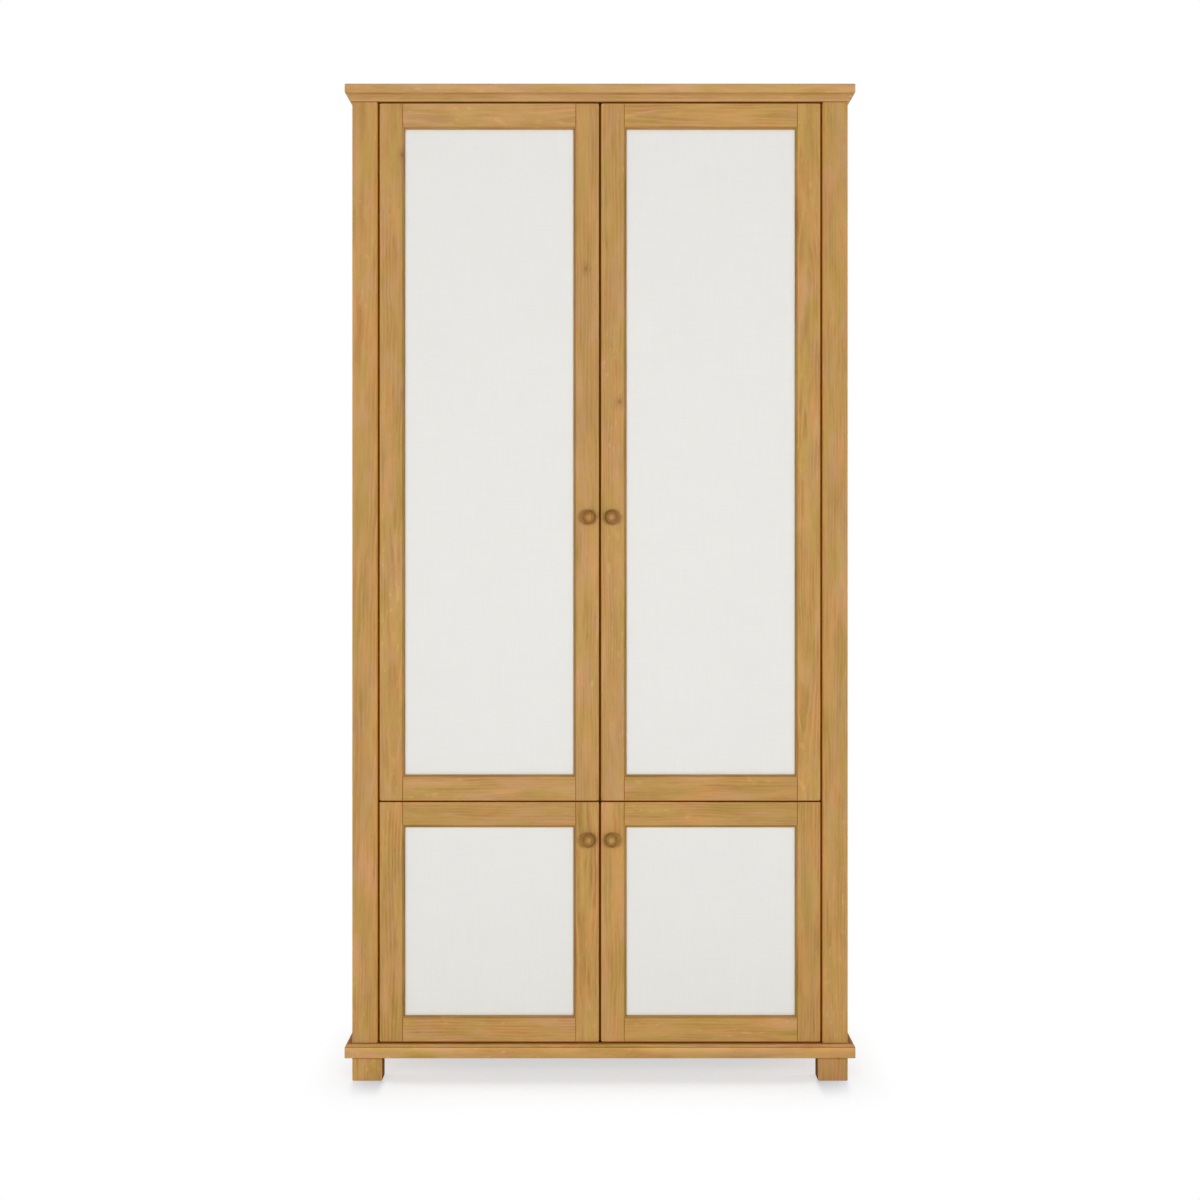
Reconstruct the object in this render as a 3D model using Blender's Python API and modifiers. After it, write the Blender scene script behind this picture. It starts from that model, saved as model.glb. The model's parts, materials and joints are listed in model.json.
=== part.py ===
"""Tall oak cabinet: two tall panelled doors over two short ones, in a post and rail carcass on block feet.

The cabinet stands on z = 0 and faces -Y. The origin is under the middle of its box, knobs included.
A door is drawn from its own hinge edge: u runs across it to the meeting edge, v runs back from its
front face, and z is the height above the floor. The right-hand doors are the mirror of the left ones.
Lengths are in metres.
"""

import math

import bmesh
import bpy
from mathutils import Matrix, Vector

# Overall sizes
OVERALL_HEIGHT = 2.000
BODY_WIDTH = 0.995
BODY_DEPTH = 0.540
MOULDING_PROJECTION = 0.014
SEAT_GAP = 0.0003
CUT_OVERRUN = 0.004

# Feet and base board
FOOT_SIDE = 0.060
FOOT_HEIGHT = 0.048
FOOT_EASE = 0.0012
BASE_FACE_HEIGHT = 0.0214
BASE_QUIRK = 0.0009
BASE_QUIRK_DEPTH = 0.0012
BASE_SLOPE_HEIGHT = 0.0043
BASE_SLOPE_DEPTH = 0.0040

# Cornice: a plain top board over a cove moulding, planted on the carcass top
TOP_BOARD_THICKNESS = 0.018
TOP_BOARD_EASE = 0.0012
CARCASS_TOP_THICKNESS = 0.016
COVE_FOOT_DEPTH = 0.0045
COVE_FILLET_HEIGHT = 0.0050
COVE_REACH = 0.0125
COVE_LIP_HEIGHT = 0.0012
COVE_STEPS = 6

# Posts and side frames
POST_WIDTH = 0.0505
POST_DEPTH = 0.080
POST_EASE = 0.0010
SIDE_FRAME_THICKNESS = 0.022
SIDE_MEMBER_WIDTH = 0.070
SIDE_PANEL_THICKNESS = 0.008
SIDE_GROOVE_DEPTH = 0.010
BACK_PANEL_THICKNESS = 0.008
BACK_REBATE_WIDTH = 0.011

# Doors
DOOR_GAP = 0.004
DOOR_THICKNESS = 0.022
LOWER_DOOR_HEIGHT = 0.480
MEMBER_WIDTH = 0.051
STICKING_WIDTH = 0.005
STICKING_FILLET = 0.0008
STICKING_STEPS = 4
GROOVE_SETBACK = 0.008
GROOVE_DEPTH = 0.009
PANEL_THICKNESS = 0.006
PANEL_EDGE_PLAY = 0.0008

# Knobs and their screws
KNOB_DIAMETER = 0.031
KNOB_PROJECTION = 0.026
KNOB_NECK_DIAMETER = 0.017
KNOB_INSET = 0.0225
UPPER_KNOB_ABOVE_DOOR_FOOT = 0.5685
LOWER_KNOB_BELOW_DOOR_TOP = 0.0745
KNOB_STEPS = 24
SCREW_DIAMETER = 0.004
SCREW_HEAD_DIAMETER = 0.009
SCREW_HEAD_HEIGHT = 0.002
SCREW_REACH = 0.010
SCREW_STEPS = 12

# Concealed hinges: a cup in the door turns on a pin in the eye of a swan-necked arm
HINGE_INSET = 0.024
HINGE_DEPTH = 0.0128
CUP_INSET = 0.0225
CUP_DIAMETER = 0.035
CUP_WALL = 0.0007
CUP_BACKSET = 0.0088
CUP_FLOOR_BACKSET = 0.0095
CUP_STEPS = 24
FLANGE_THICKNESS = 0.0008
FLANGE_LIP = 0.0002
FLANGE_WIDTH = 0.018
FLANGE_LENGTH = 0.062
FLANGE_OFFSET = 0.0060
FLANGE_CORNER = 0.004
EYE_RADIUS = 0.0029
PIN_RADIUS = 0.00125
PIN_PLAY = 0.0003
ARM_WIDTH = 0.011
NECK_THICKNESS = 0.0025
NECK_REACH = 0.0295
NECK_START_SHARE = 2 / 3
NECK_TURN_SHARES = (0.73, 0.855, 0.95, 0.993, 1.003, 1.003, 1.017)
NECK_TURN_ANGLES = (42, 43.5, 48, 55, 65, 80, 95)
NECK_RETURN_SHARES = (0.42, 0.2)
ARM_BEND_SHARES = (0.7, 0.4)
ARM_STRAIGHT_SHARE = 1.4
ARM_THICKNESS = 0.005
ARM_END_SETBACK = 0.002
PLATE_THICKNESS = 0.002
PLATE_RIDGE = 0.004
PLATE_RIDGE_WIDTH = 0.009
PLATE_SCREW_SETBACK = 0.059
PLATE_FRONT_SETBACK = 0.044
PLATE_WING_LENGTH = 0.048
PLATE_WING_WIDTH = 0.012
HINGE_END_DISTANCE = 0.100
SHORT_DOOR_HINGE_DISTANCE = 0.090

# Shelves and their pins
SHELF_THICKNESS = 0.020
SHELF_SWING_CLEARANCE = 0.0025
SHELF_END_PLAY = 0.0008
UPPER_SHELF_SHARES = (0.24, 0.46, 0.70)
LOWER_SHELF_SHARE = 0.51
PIN_DIAMETER = 0.005
PIN_IN_WOOD = 0.009
PIN_OUT = 0.009
FRONT_PIN_SETBACK = 0.068
REAR_PIN_INSET = 0.035
SHELF_PIN_STEPS = 10

# Places worked out from the sizes
FRONT = -(BODY_DEPTH - KNOB_PROJECTION - SEAT_GAP) / 2
BACK = FRONT + BODY_DEPTH
HALF_WIDTH = BODY_WIDTH / 2
BASE_TOP = FOOT_HEIGHT + BASE_FACE_HEIGHT + BASE_QUIRK + BASE_SLOPE_HEIGHT + BASE_QUIRK
TOP_BOARD_FOOT = OVERALL_HEIGHT - TOP_BOARD_THICKNESS
CARCASS_TOP_FOOT = TOP_BOARD_FOOT - CARCASS_TOP_THICKNESS
OPENING_HALF = HALF_WIDTH - POST_WIDTH
HINGE_EDGE = OPENING_HALF - DOOR_GAP
DOOR_WIDTH = HINGE_EDGE - DOOR_GAP / 2
LOWER_DOOR_FOOT = BASE_TOP + DOOR_GAP
LOWER_DOOR_TOP = LOWER_DOOR_FOOT + LOWER_DOOR_HEIGHT
UPPER_DOOR_FOOT = LOWER_DOOR_TOP + DOOR_GAP
UPPER_DOOR_TOP = CARCASS_TOP_FOOT - DOOR_GAP
GROOVE_WIDTH = PANEL_THICKNESS + 2 * SEAT_GAP
FLAT_WIDTH = MEMBER_WIDTH - STICKING_WIDTH
GROOVE_FLOOR = MEMBER_WIDTH - GROOVE_DEPTH
SIDE_INNER = HALF_WIDTH - SIDE_FRAME_THICKNESS
SIDE_GROOVE_CENTRE = HALF_WIDTH - SIDE_FRAME_THICKNESS / 2
POST_BACK = FRONT + POST_DEPTH
REAR_STILE_FRONT = BACK - SIDE_MEMBER_WIDTH
SHELF_BACK = BACK - BACK_PANEL_THICKNESS - SEAT_GAP
SWING_DEPTH = HINGE_DEPTH + math.hypot(HINGE_INSET, DOOR_THICKNESS - HINGE_DEPTH)
SHELF_FRONT = FRONT + SWING_DEPTH + SHELF_SWING_CLEARANCE
FIXED_SHELF_MIDDLE = LOWER_DOOR_TOP + DOOR_GAP / 2

SHARP_ANGLE = math.radians(40)
PARTS = "tall_cabinet"
CUTTERS = "cutters"


def clear_scene():
    """Removes what the scene holds, and makes the two collections."""
    for obj in list(bpy.data.objects):
        bpy.data.objects.remove(obj, do_unlink=True)
    for name in (PARTS, CUTTERS):
        bpy.context.scene.collection.children.link(bpy.data.collections.new(name))


# Materials

def principled(name, colour, roughness, metallic=0.0):
    material = bpy.data.materials.new(name)
    material.use_nodes = True
    shader = material.node_tree.nodes["Principled BSDF"]
    shader.inputs["Base Color"].default_value = (*colour, 1.0)
    shader.inputs["Roughness"].default_value = roughness
    shader.inputs["Metallic"].default_value = metallic
    material.diffuse_color = (*colour, 1.0)
    return material


def oak(name):
    return principled(name, (0.50, 0.285, 0.10), 0.42)


def pale_board(name):
    return principled(name, (0.62, 0.55, 0.44), 0.6)


def linen_faced_board(name):
    return principled(name, (0.80, 0.79, 0.76), 0.9)


def steel(name):
    return principled(name, (0.62, 0.62, 0.60), 0.3, 1.0)


# Meshes and objects

def finished(name, mesh, finish, place=(0, 0, 0), parent=None):
    """An object of the cabinet, at its own place, with its own material."""
    obj = bpy.data.objects.new(name, mesh)
    obj.location = place
    mesh.materials.clear()
    mesh.materials.append(finish(name))
    bpy.data.collections[PARTS].objects.link(obj)
    if parent:
        obj.parent = parent
        obj.matrix_parent_inverse = Matrix.Translation(-Vector(parent.location))
    return obj


def mesh_from(bm, name):
    mesh = bpy.data.meshes.new(name)
    bm.to_mesh(mesh)
    bm.free()
    return mesh


def block_mesh(name, size):
    bm = bmesh.new()
    bmesh.ops.create_cube(bm, size=1, matrix=Matrix.Diagonal((*size, 1)))
    return mesh_from(bm, name)


def middle(low, high):
    return [(a + b) / 2 for a, b in zip(low, high)]


def spans(low, high):
    return [b - a for a, b in zip(low, high)]


def block(name, low, high, finish=oak, parent=None, ease=0):
    """A board between two corners, with its long edges eased where the real one shows."""
    obj = finished(name, block_mesh(name, spans(low, high)), finish, middle(low, high), parent)
    if ease:
        bevel = obj.modifiers.new("eased edges", "BEVEL")
        bevel.width = ease
        bevel.segments = 1
    return obj


def helper(name, mesh, place=(0, 0, 0)):
    """A cutter, or a piece that is joined to another: it is not part of the cabinet by itself."""
    obj = bpy.data.objects.new(name, mesh)
    obj.location = place
    obj.hide_render = True
    obj.display_type = "WIRE"
    bpy.data.collections[CUTTERS].objects.link(obj)
    return obj


def block_helper(name, low, high):
    return helper(name, block_mesh(name, spans(low, high)), middle(low, high))


def rod_mesh(name, radius, low, high, axis, steps):
    """A cylinder between two points that differ along one axis only."""
    bm = bmesh.new()
    length = (Vector(high) - Vector(low)).length
    bmesh.ops.create_cone(
        bm, cap_ends=True, segments=steps, radius1=radius, radius2=radius, depth=length
    )
    turns = {
        "X": Matrix.Rotation(math.pi / 2, 4, "Y"),
        "Y": Matrix.Rotation(math.pi / 2, 4, "X"),
        "Z": Matrix(),
    }
    bmesh.ops.transform(bm, matrix=turns[axis], verts=bm.verts)
    mesh = mesh_from(bm, name)
    mesh.shade_smooth()
    mesh.set_sharp_from_angle(angle=SHARP_ANGLE)
    return mesh


def rod_helper(name, radius, low, high, axis, steps):
    return helper(name, rod_mesh(name, radius, low, high, axis, steps), middle(low, high))


def boolean(obj, other, operation="DIFFERENCE"):
    modifier = obj.modifiers.new(other.name, "BOOLEAN")
    modifier.operation = operation
    modifier.solver = "EXACT"
    modifier.object = other


def evaluated_mesh(obj, name):
    """The object's shape with its modifiers, in world space."""
    bpy.context.view_layer.update()
    mesh = bpy.data.meshes.new_from_object(obj.evaluated_get(bpy.context.evaluated_depsgraph_get()))
    mesh.name = name
    mesh.transform(obj.matrix_world)
    return mesh


def outline_mesh(name, points, thickness, turn=Matrix()):
    """A flat outline in X and Y, filled and extruded to a board centred on its own plane."""
    curve = bpy.data.curves.new(name, "CURVE")
    curve.dimensions = "2D"
    curve.fill_mode = "BOTH"
    curve.extrude = thickness / 2
    spline = curve.splines.new("POLY")
    spline.points.add(len(points) - 1)
    for point, (x, y) in zip(spline.points, points):
        point.co = (x, y, 0, 1)
    spline.use_cyclic_u = True
    guide = helper(name, curve)
    mesh = evaluated_mesh(guide, name)
    bpy.data.objects.remove(guide, do_unlink=True)
    bm = bmesh.new()
    bm.from_mesh(mesh)
    bmesh.ops.remove_doubles(bm, verts=bm.verts, dist=SEAT_GAP / 10)
    bmesh.ops.transform(bm, matrix=turn, verts=bm.verts)
    bmesh.ops.recalc_face_normals(bm, faces=bm.faces)
    bm.to_mesh(mesh)
    bm.free()
    return mesh


def turned_mesh(name, profile, steps):
    """A profile of (radius, height) points, top to bottom, turned about Z."""
    mesh = bpy.data.meshes.new(name)
    mesh.from_pydata([(r, 0, z) for r, z in profile], [(i, i + 1) for i in range(len(profile) - 1)], [])
    guide = helper(name, mesh)
    screw = guide.modifiers.new("turning", "SCREW")
    screw.steps = steps
    screw.render_steps = steps
    screw.use_merge_vertices = True
    screw.merge_threshold = SEAT_GAP / 10
    turned = evaluated_mesh(guide, name)
    bpy.data.objects.remove(guide, do_unlink=True)
    turned.shade_smooth()
    turned.set_sharp_from_angle(angle=math.radians(40))
    return turned


def repeated(name, mesh, moves):
    """Copies of a mesh as one mesh, for a helper. A mirroring move turns its faces back."""
    bm = bmesh.new()
    for move in moves:
        verts_before = len(bm.verts)
        faces_before = len(bm.faces)
        bm.from_mesh(mesh)
        bm.verts.ensure_lookup_table()
        bm.faces.ensure_lookup_table()
        bmesh.ops.transform(bm, matrix=move, verts=bm.verts[verts_before:])
        if move.determinant() < 0:
            bmesh.ops.reverse_faces(bm, faces=bm.faces[faces_before:])
    return mesh_from(bm, name)


def to_side(side):
    """Turns a place drawn for the left half into one for this side: -1 is left, 1 is right."""
    return Matrix.Diagonal((-side, 1, 1, 1))


# Carcass

def moulded_slab(name, levels, finish=oak):
    """A board moulded on its front and sides, flush at its back. Each level is (projection, height)."""
    bm = bmesh.new()
    bmesh.ops.create_grid(bm, x_segments=1, y_segments=1, size=1)
    bm.faces.ensure_lookup_table()
    bmesh.ops.reverse_faces(bm, faces=bm.faces[:])
    top = bm.faces[0]
    for number, (projection, height) in enumerate(levels):
        if number:
            made = bmesh.ops.extrude_face_region(bm, geom=[top])["geom"]
            if number > 1:
                bmesh.ops.delete(bm, geom=[top], context="FACES_ONLY")
            top = next(item for item in made if isinstance(item, bmesh.types.BMFace))
        for vert in top.verts:
            side = math.copysign(1, vert.co.x)
            place = BACK if vert.co.y > 0 else FRONT - projection
            vert.co = (side * (HALF_WIDTH + projection), place, height)
    bmesh.ops.recalc_face_normals(bm, faces=bm.faces)
    return finished(name, mesh_from(bm, name), finish)


def base_board():
    face_top = FOOT_HEIGHT + BASE_FACE_HEIGHT
    slope_foot = face_top + BASE_QUIRK
    slope_top = slope_foot + BASE_SLOPE_HEIGHT
    quirk = MOULDING_PROJECTION - BASE_QUIRK_DEPTH
    lip = quirk - BASE_SLOPE_DEPTH
    moulded_slab("base_board", [
        (MOULDING_PROJECTION - BASE_QUIRK, FOOT_HEIGHT),
        (MOULDING_PROJECTION, FOOT_HEIGHT + BASE_QUIRK),
        (MOULDING_PROJECTION, face_top),
        (quirk, face_top + BASE_QUIRK / 2),
        (quirk, slope_foot),
        (lip, slope_top),
        (lip, BASE_TOP),
    ])


def top_board():
    moulded_slab("top_board", [
        (MOULDING_PROJECTION - TOP_BOARD_EASE, TOP_BOARD_FOOT),
        (MOULDING_PROJECTION, TOP_BOARD_FOOT + TOP_BOARD_EASE),
        (MOULDING_PROJECTION, OVERALL_HEIGHT - TOP_BOARD_EASE),
        (MOULDING_PROJECTION - TOP_BOARD_EASE, OVERALL_HEIGHT),
    ])


def cove_profile():
    """(projection, height) points of the cove moulding, from its foot round its face to its back."""
    foot = CARCASS_TOP_FOOT + SEAT_GAP
    top = TOP_BOARD_FOOT - SEAT_GAP
    fillet_top = foot + COVE_FILLET_HEIGHT
    lip = top - COVE_LIP_HEIGHT
    points = [(SEAT_GAP, foot), (COVE_FOOT_DEPTH, foot)]
    for step in range(COVE_STEPS + 1):
        angle = math.pi / 2 * step / COVE_STEPS
        out = COVE_REACH - (COVE_REACH - COVE_FOOT_DEPTH) * math.cos(angle)
        points.append((out, fillet_top + (lip - fillet_top) * math.sin(angle)))
    return points + [(COVE_REACH, top), (SEAT_GAP, top)]


def cove_piece(name, place, along, mitre_low, mitre_high):
    """A length of the cove: place(projection, height, run) is a point, and a mitre adds the projection."""
    profile = cove_profile()
    low, high = along
    bm = bmesh.new()
    ends = []
    for run, mitre in ((low, -mitre_low), (high, mitre_high)):
        ends.append([bm.verts.new(place(out, height, run + mitre * out)) for out, height in profile])
    bm.faces.new(ends[0])
    bm.faces.new(ends[1])
    for number, start in enumerate(ends[0]):
        after = (number + 1) % len(profile)
        bm.faces.new((start, ends[0][after], ends[1][after], ends[1][number]))
    bmesh.ops.recalc_face_normals(bm, faces=bm.faces)
    finished(name, mesh_from(bm, name), oak)


def cornice_moulding():
    half = HALF_WIDTH - SEAT_GAP
    cove_piece("cornice_front", lambda out, height, x: (x, FRONT - out, height), (-half, half), 1, 1)
    for name, side in (("cornice_left", -1), ("cornice_right", 1)):
        cove_piece(
            name,
            lambda out, height, y, side=side: (side * (HALF_WIDTH + out), y, height),
            (FRONT + SEAT_GAP, BACK),
            1,
            0,
        )


def feet():
    out = HALF_WIDTH - FOOT_SIDE
    for hand, x in (("left", -HALF_WIDTH), ("right", out)):
        for end, y in (("front", FRONT), ("rear", BACK - FOOT_SIDE)):
            top = FOOT_HEIGHT - SEAT_GAP
            block(end + "_" + hand + "_foot", (x, y, 0), (x + FOOT_SIDE, y + FOOT_SIDE, top), ease=FOOT_EASE)


def side_groove(name, side, y_low, y_high, z_low, z_high):
    """The cutter of a groove for the side panel and the tenons."""
    half = SIDE_PANEL_THICKNESS / 2 + SEAT_GAP
    x = side * SIDE_GROOVE_CENTRE
    return block_helper(name, (x - half, y_low, z_low), (x + half, y_high, z_high))


def upright_span():
    return BASE_TOP + SEAT_GAP, CARCASS_TOP_FOOT - SEAT_GAP


def front_post(name, side):
    low, high = upright_span()
    x = sorted((side * OPENING_HALF, side * HALF_WIDTH))
    post = block(name, (x[0], FRONT, low), (x[1], POST_BACK, high), ease=POST_EASE)
    boolean(post, side_groove(
        name + "_groove", side, POST_BACK - SIDE_GROOVE_DEPTH, POST_BACK + CUT_OVERRUN,
        low - CUT_OVERRUN, high + CUT_OVERRUN,
    ))
    boolean(post, shelf_pins(name + "_shelf_pins", side, FRONT + FRONT_PIN_SETBACK, OPENING_HALF), "UNION")


def rear_stile(name, side):
    low, high = upright_span()
    x = sorted((side * SIDE_INNER, side * HALF_WIDTH))
    stile = block(name, (x[0], REAR_STILE_FRONT, low), (x[1], BACK, high))
    boolean(stile, side_groove(
        name + "_groove", side, REAR_STILE_FRONT - CUT_OVERRUN, REAR_STILE_FRONT + SIDE_GROOVE_DEPTH,
        low - CUT_OVERRUN, high + CUT_OVERRUN,
    ))
    rebate = sorted((side * (SIDE_INNER - CUT_OVERRUN), side * (HALF_WIDTH - BACK_REBATE_WIDTH)))
    boolean(stile, block_helper(
        name + "_rebate", (rebate[0], BACK - BACK_PANEL_THICKNESS - SEAT_GAP, low - CUT_OVERRUN),
        (rebate[1], BACK + CUT_OVERRUN, high + CUT_OVERRUN),
    ))
    boolean(stile, shelf_pins(name + "_shelf_pins", side, BACK - REAR_PIN_INSET, SIDE_INNER), "UNION")


def side_rail(name, side, low, high, groove_edge):
    """A rail of a side frame, with a stub tenon at each end and a groove along the edge by the panel."""
    x = sorted((side * SIDE_INNER, side * HALF_WIDTH))
    rail = block(name, (x[0], POST_BACK + SEAT_GAP, low), (x[1], REAR_STILE_FRONT - SEAT_GAP, high))
    reach = SIDE_GROOVE_DEPTH - SEAT_GAP
    centre = side * SIDE_GROOVE_CENTRE
    half = SIDE_PANEL_THICKNESS / 2
    tenon = block_helper(
        name + "_tenons",
        (centre - half, POST_BACK - reach, low),
        (centre + half, REAR_STILE_FRONT + reach, high),
    )
    boolean(rail, tenon, "UNION")
    below, above = groove_edge
    boolean(rail, side_groove(
        name + "_groove", side, POST_BACK - SIDE_GROOVE_DEPTH - CUT_OVERRUN,
        REAR_STILE_FRONT + SIDE_GROOVE_DEPTH + CUT_OVERRUN, below, above,
    ))


def side_frame(word, side):
    low, high = upright_span()
    bottom_top = low + SIDE_MEMBER_WIDTH
    top_foot = high - SIDE_MEMBER_WIDTH
    side_rail(
        word + "_side_bottom_rail", side, low, bottom_top,
        (bottom_top - SIDE_GROOVE_DEPTH, bottom_top + CUT_OVERRUN),
    )
    side_rail(
        word + "_side_top_rail", side, top_foot, high,
        (top_foot - CUT_OVERRUN, top_foot + SIDE_GROOVE_DEPTH),
    )
    reach = SIDE_GROOVE_DEPTH - PANEL_EDGE_PLAY
    centre = side * SIDE_GROOVE_CENTRE
    half = SIDE_PANEL_THICKNESS / 2
    block(
        word + "_side_panel",
        (centre - half, POST_BACK - reach, bottom_top - reach),
        (centre + half, REAR_STILE_FRONT + reach, top_foot + reach),
    )


def back_panel():
    low, high = upright_span()
    half = HALF_WIDTH - BACK_REBATE_WIDTH - SEAT_GAP
    block("back_panel", (-half, BACK - BACK_PANEL_THICKNESS, low), (half, BACK, high), pale_board)


def carcass_top():
    block(
        "carcass_top", (-HALF_WIDTH, FRONT, CARCASS_TOP_FOOT),
        (HALF_WIDTH, BACK, TOP_BOARD_FOOT - SEAT_GAP),
    )


# Shelves

def shelf_mesh(name, end_play):
    """A shelf notched round the front posts, its top at z = 0."""
    ends = SIDE_INNER - end_play
    between = OPENING_HALF - end_play
    notch = POST_BACK + end_play
    points = [
        (-between, SHELF_FRONT), (between, SHELF_FRONT), (between, notch), (ends, notch),
        (ends, SHELF_BACK), (-ends, SHELF_BACK), (-ends, notch), (-between, notch),
    ]
    return outline_mesh(name, points, SHELF_THICKNESS, Matrix.Translation((0, 0, -SHELF_THICKNESS / 2)))


def shelf_tops():
    """Heights of the loose shelves: those of the upper space, then the lower one."""
    fixed_top = FIXED_SHELF_MIDDLE + SHELF_THICKNESS / 2
    fixed_foot = FIXED_SHELF_MIDDLE - SHELF_THICKNESS / 2
    upper = [fixed_top + share * (CARCASS_TOP_FOOT - fixed_top) for share in UPPER_SHELF_SHARES]
    lower = BASE_TOP + LOWER_SHELF_SHARE * (fixed_foot - BASE_TOP)
    return upper, lower


def shelves():
    fixed = shelf_mesh("fixed_shelf", SEAT_GAP)
    finished("fixed_shelf", fixed, oak, (0, 0, FIXED_SHELF_MIDDLE + SHELF_THICKNESS / 2))
    upper, lower = shelf_tops()
    names = ("upper_shelf_low", "upper_shelf_middle", "upper_shelf_high", "lower_shelf")
    for name, top in zip(names, (*upper, lower)):
        finished(name, shelf_mesh(name, SHELF_END_PLAY), oak, (0, 0, top))


def shelf_pins(name, side, y, face):
    """The pins that carry the loose shelves along one upright, driven into its wood."""
    upper, lower = shelf_tops()
    heights = [top - SHELF_THICKNESS - SEAT_GAP - PIN_DIAMETER / 2 for top in (*upper, lower)]
    length = PIN_IN_WOOD + PIN_OUT
    mesh = rod_mesh(name, PIN_DIAMETER / 2, (0, 0, 0), (length, 0, 0), "X", SHELF_PIN_STEPS)
    x = side * (face + (PIN_IN_WOOD - PIN_OUT) / 2)
    return helper(name, repeated(name, mesh, [Matrix.Translation((x, y, height)) for height in heights]))


# Doors

def member_profile():
    """Section of a door member as (across, back) points: ovolo sticking inside, then the groove."""
    points = [(0, 0), (FLAT_WIDTH, 0)]
    for step in range(STICKING_STEPS + 1):
        angle = math.pi / 2 * step / STICKING_STEPS
        across = FLAT_WIDTH + STICKING_WIDTH * math.sin(angle)
        points.append((across, STICKING_FILLET + STICKING_WIDTH * (1 - math.cos(angle))))
    groove_back = GROOVE_SETBACK + GROOVE_WIDTH
    return points + [
        (MEMBER_WIDTH, GROOVE_SETBACK), (GROOVE_FLOOR, GROOVE_SETBACK), (GROOVE_FLOOR, groove_back),
        (MEMBER_WIDTH, groove_back), (MEMBER_WIDTH, DOOR_THICKNESS), (0, DOOR_THICKNESS),
    ]


def coped_end():
    """The rail's end in plan as (across, back) points: it fits over the stile's sticking, and its tenon
    goes into the stile's groove."""
    points = [(FLAT_WIDTH + SEAT_GAP, 0)]
    radius = STICKING_WIDTH + SEAT_GAP
    centre_back = STICKING_FILLET + STICKING_WIDTH
    start = math.asin(SEAT_GAP / radius)
    for step in range(STICKING_STEPS + 1):
        angle = start + (math.pi / 2 - start) * step / STICKING_STEPS
        points.append((FLAT_WIDTH + radius * math.sin(angle), centre_back - radius * math.cos(angle)))
    tenon_front = GROOVE_SETBACK + SEAT_GAP
    tenon_back = GROOVE_SETBACK + GROOVE_WIDTH - SEAT_GAP
    return points + [
        (MEMBER_WIDTH + SEAT_GAP, tenon_front), (GROOVE_FLOOR + SEAT_GAP, tenon_front),
        (GROOVE_FLOOR + SEAT_GAP, tenon_back), (MEMBER_WIDTH + SEAT_GAP, tenon_back),
        (MEMBER_WIDTH + SEAT_GAP, DOOR_THICKNESS),
    ]


def door_point(side, u, v, z):
    """World place of a point of a door."""
    return Vector((side * (HINGE_EDGE - u), FRONT + v, z))


def stile(name, side, parent, foot, top, meeting):
    """An upright of a door. Its profile runs its full height."""
    points = []
    for across, back in member_profile():
        u = DOOR_WIDTH - across if meeting else across
        points.append((side * (HINGE_EDGE - u), FRONT + back))
    mesh = outline_mesh(name, points, top - foot, Matrix.Translation((0, 0, (top + foot) / 2)))
    obj = finished(name, mesh, oak, parent=parent)
    return obj


def rail(name, side, parent, edge, inward):
    """A cross member of a door: its profile along X, met by the coped plan along Z."""
    points = [(FRONT + back, edge + inward * across) for across, back in member_profile()]
    to_x = Matrix(((0, 0, 1, 0), (1, 0, 0, 0), (0, 1, 0, 0), (0, 0, 0, 1)))
    centre = side * (HINGE_EDGE - DOOR_WIDTH / 2)
    mesh = outline_mesh(name, points, DOOR_WIDTH, Matrix.Translation((centre, 0, 0)) @ to_x)
    obj = finished(name, mesh, oak, parent=parent)
    near = coped_end()
    plan = near + [(DOOR_WIDTH - u, v) for u, v in reversed(near)]
    plan = [(side * (HINGE_EDGE - u), FRONT + v) for u, v in plan]
    # The plan is a little deeper than the profile, front and back, so that no faces lie on each other.
    deeper = [(x, y + (CUT_OVERRUN if y > FRONT + DOOR_THICKNESS - SEAT_GAP else 0)) for x, y in plan]
    deeper = [(x, y - (CUT_OVERRUN if y < FRONT + SEAT_GAP / 2 else 0)) for x, y in deeper]
    cope = helper(name + "_cope", outline_mesh(
        name + "_cope", deeper, MEMBER_WIDTH + 2 * CUT_OVERRUN,
        Matrix.Translation((0, 0, edge + inward * MEMBER_WIDTH / 2)),
    ))
    boolean(obj, cope, "INTERSECT")


def door_panel(name, side, parent, foot, top):
    """The board behind the frame, faced with linen, held in the grooves."""
    edge = GROOVE_FLOOR + PANEL_EDGE_PLAY
    x = sorted((side * (HINGE_EDGE - edge), side * (HINGE_EDGE - DOOR_WIDTH + edge)))
    front = FRONT + GROOVE_SETBACK + SEAT_GAP
    low, high = foot + edge, top - edge
    block(name, (x[0], front, low), (x[1], front + PANEL_THICKNESS, high), linen_faced_board, parent)


def knob_profile():
    """(radius, height) from the dome's crown down to the neck's foot, above the door's face."""
    top = KNOB_PROJECTION
    radius = KNOB_DIAMETER / 2
    neck = KNOB_NECK_DIAMETER / 2
    crown_share = 0.60
    belly_share = 0.56
    shoulder_share = 0.30
    crown_steps = 6
    belly = top * belly_share
    shoulder = top * shoulder_share
    points = [(0, top)]
    # The dome is an ellipse from the crown to the belly, with a flat set in its middle.
    for step in range(crown_steps):
        angle = math.pi / 2 * (1 - step / crown_steps)
        out = radius * (crown_share + (1 - crown_share) * math.cos(angle))
        points.append((out, belly + (top - belly) * math.sin(angle)))
    points[1] = (radius * crown_share, top - SEAT_GAP)
    points.append((radius, belly))
    points.append((radius - (radius - neck) / 3, (belly + shoulder) / 2))
    points.append((neck + (radius - neck) / 8, shoulder))
    points.append((neck, shoulder / 2))
    points.append((neck + (radius - neck) / 4, shoulder / 5))
    points.append((neck + (radius - neck) / 4, 0))
    points.append((0, 0))
    return points


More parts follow.
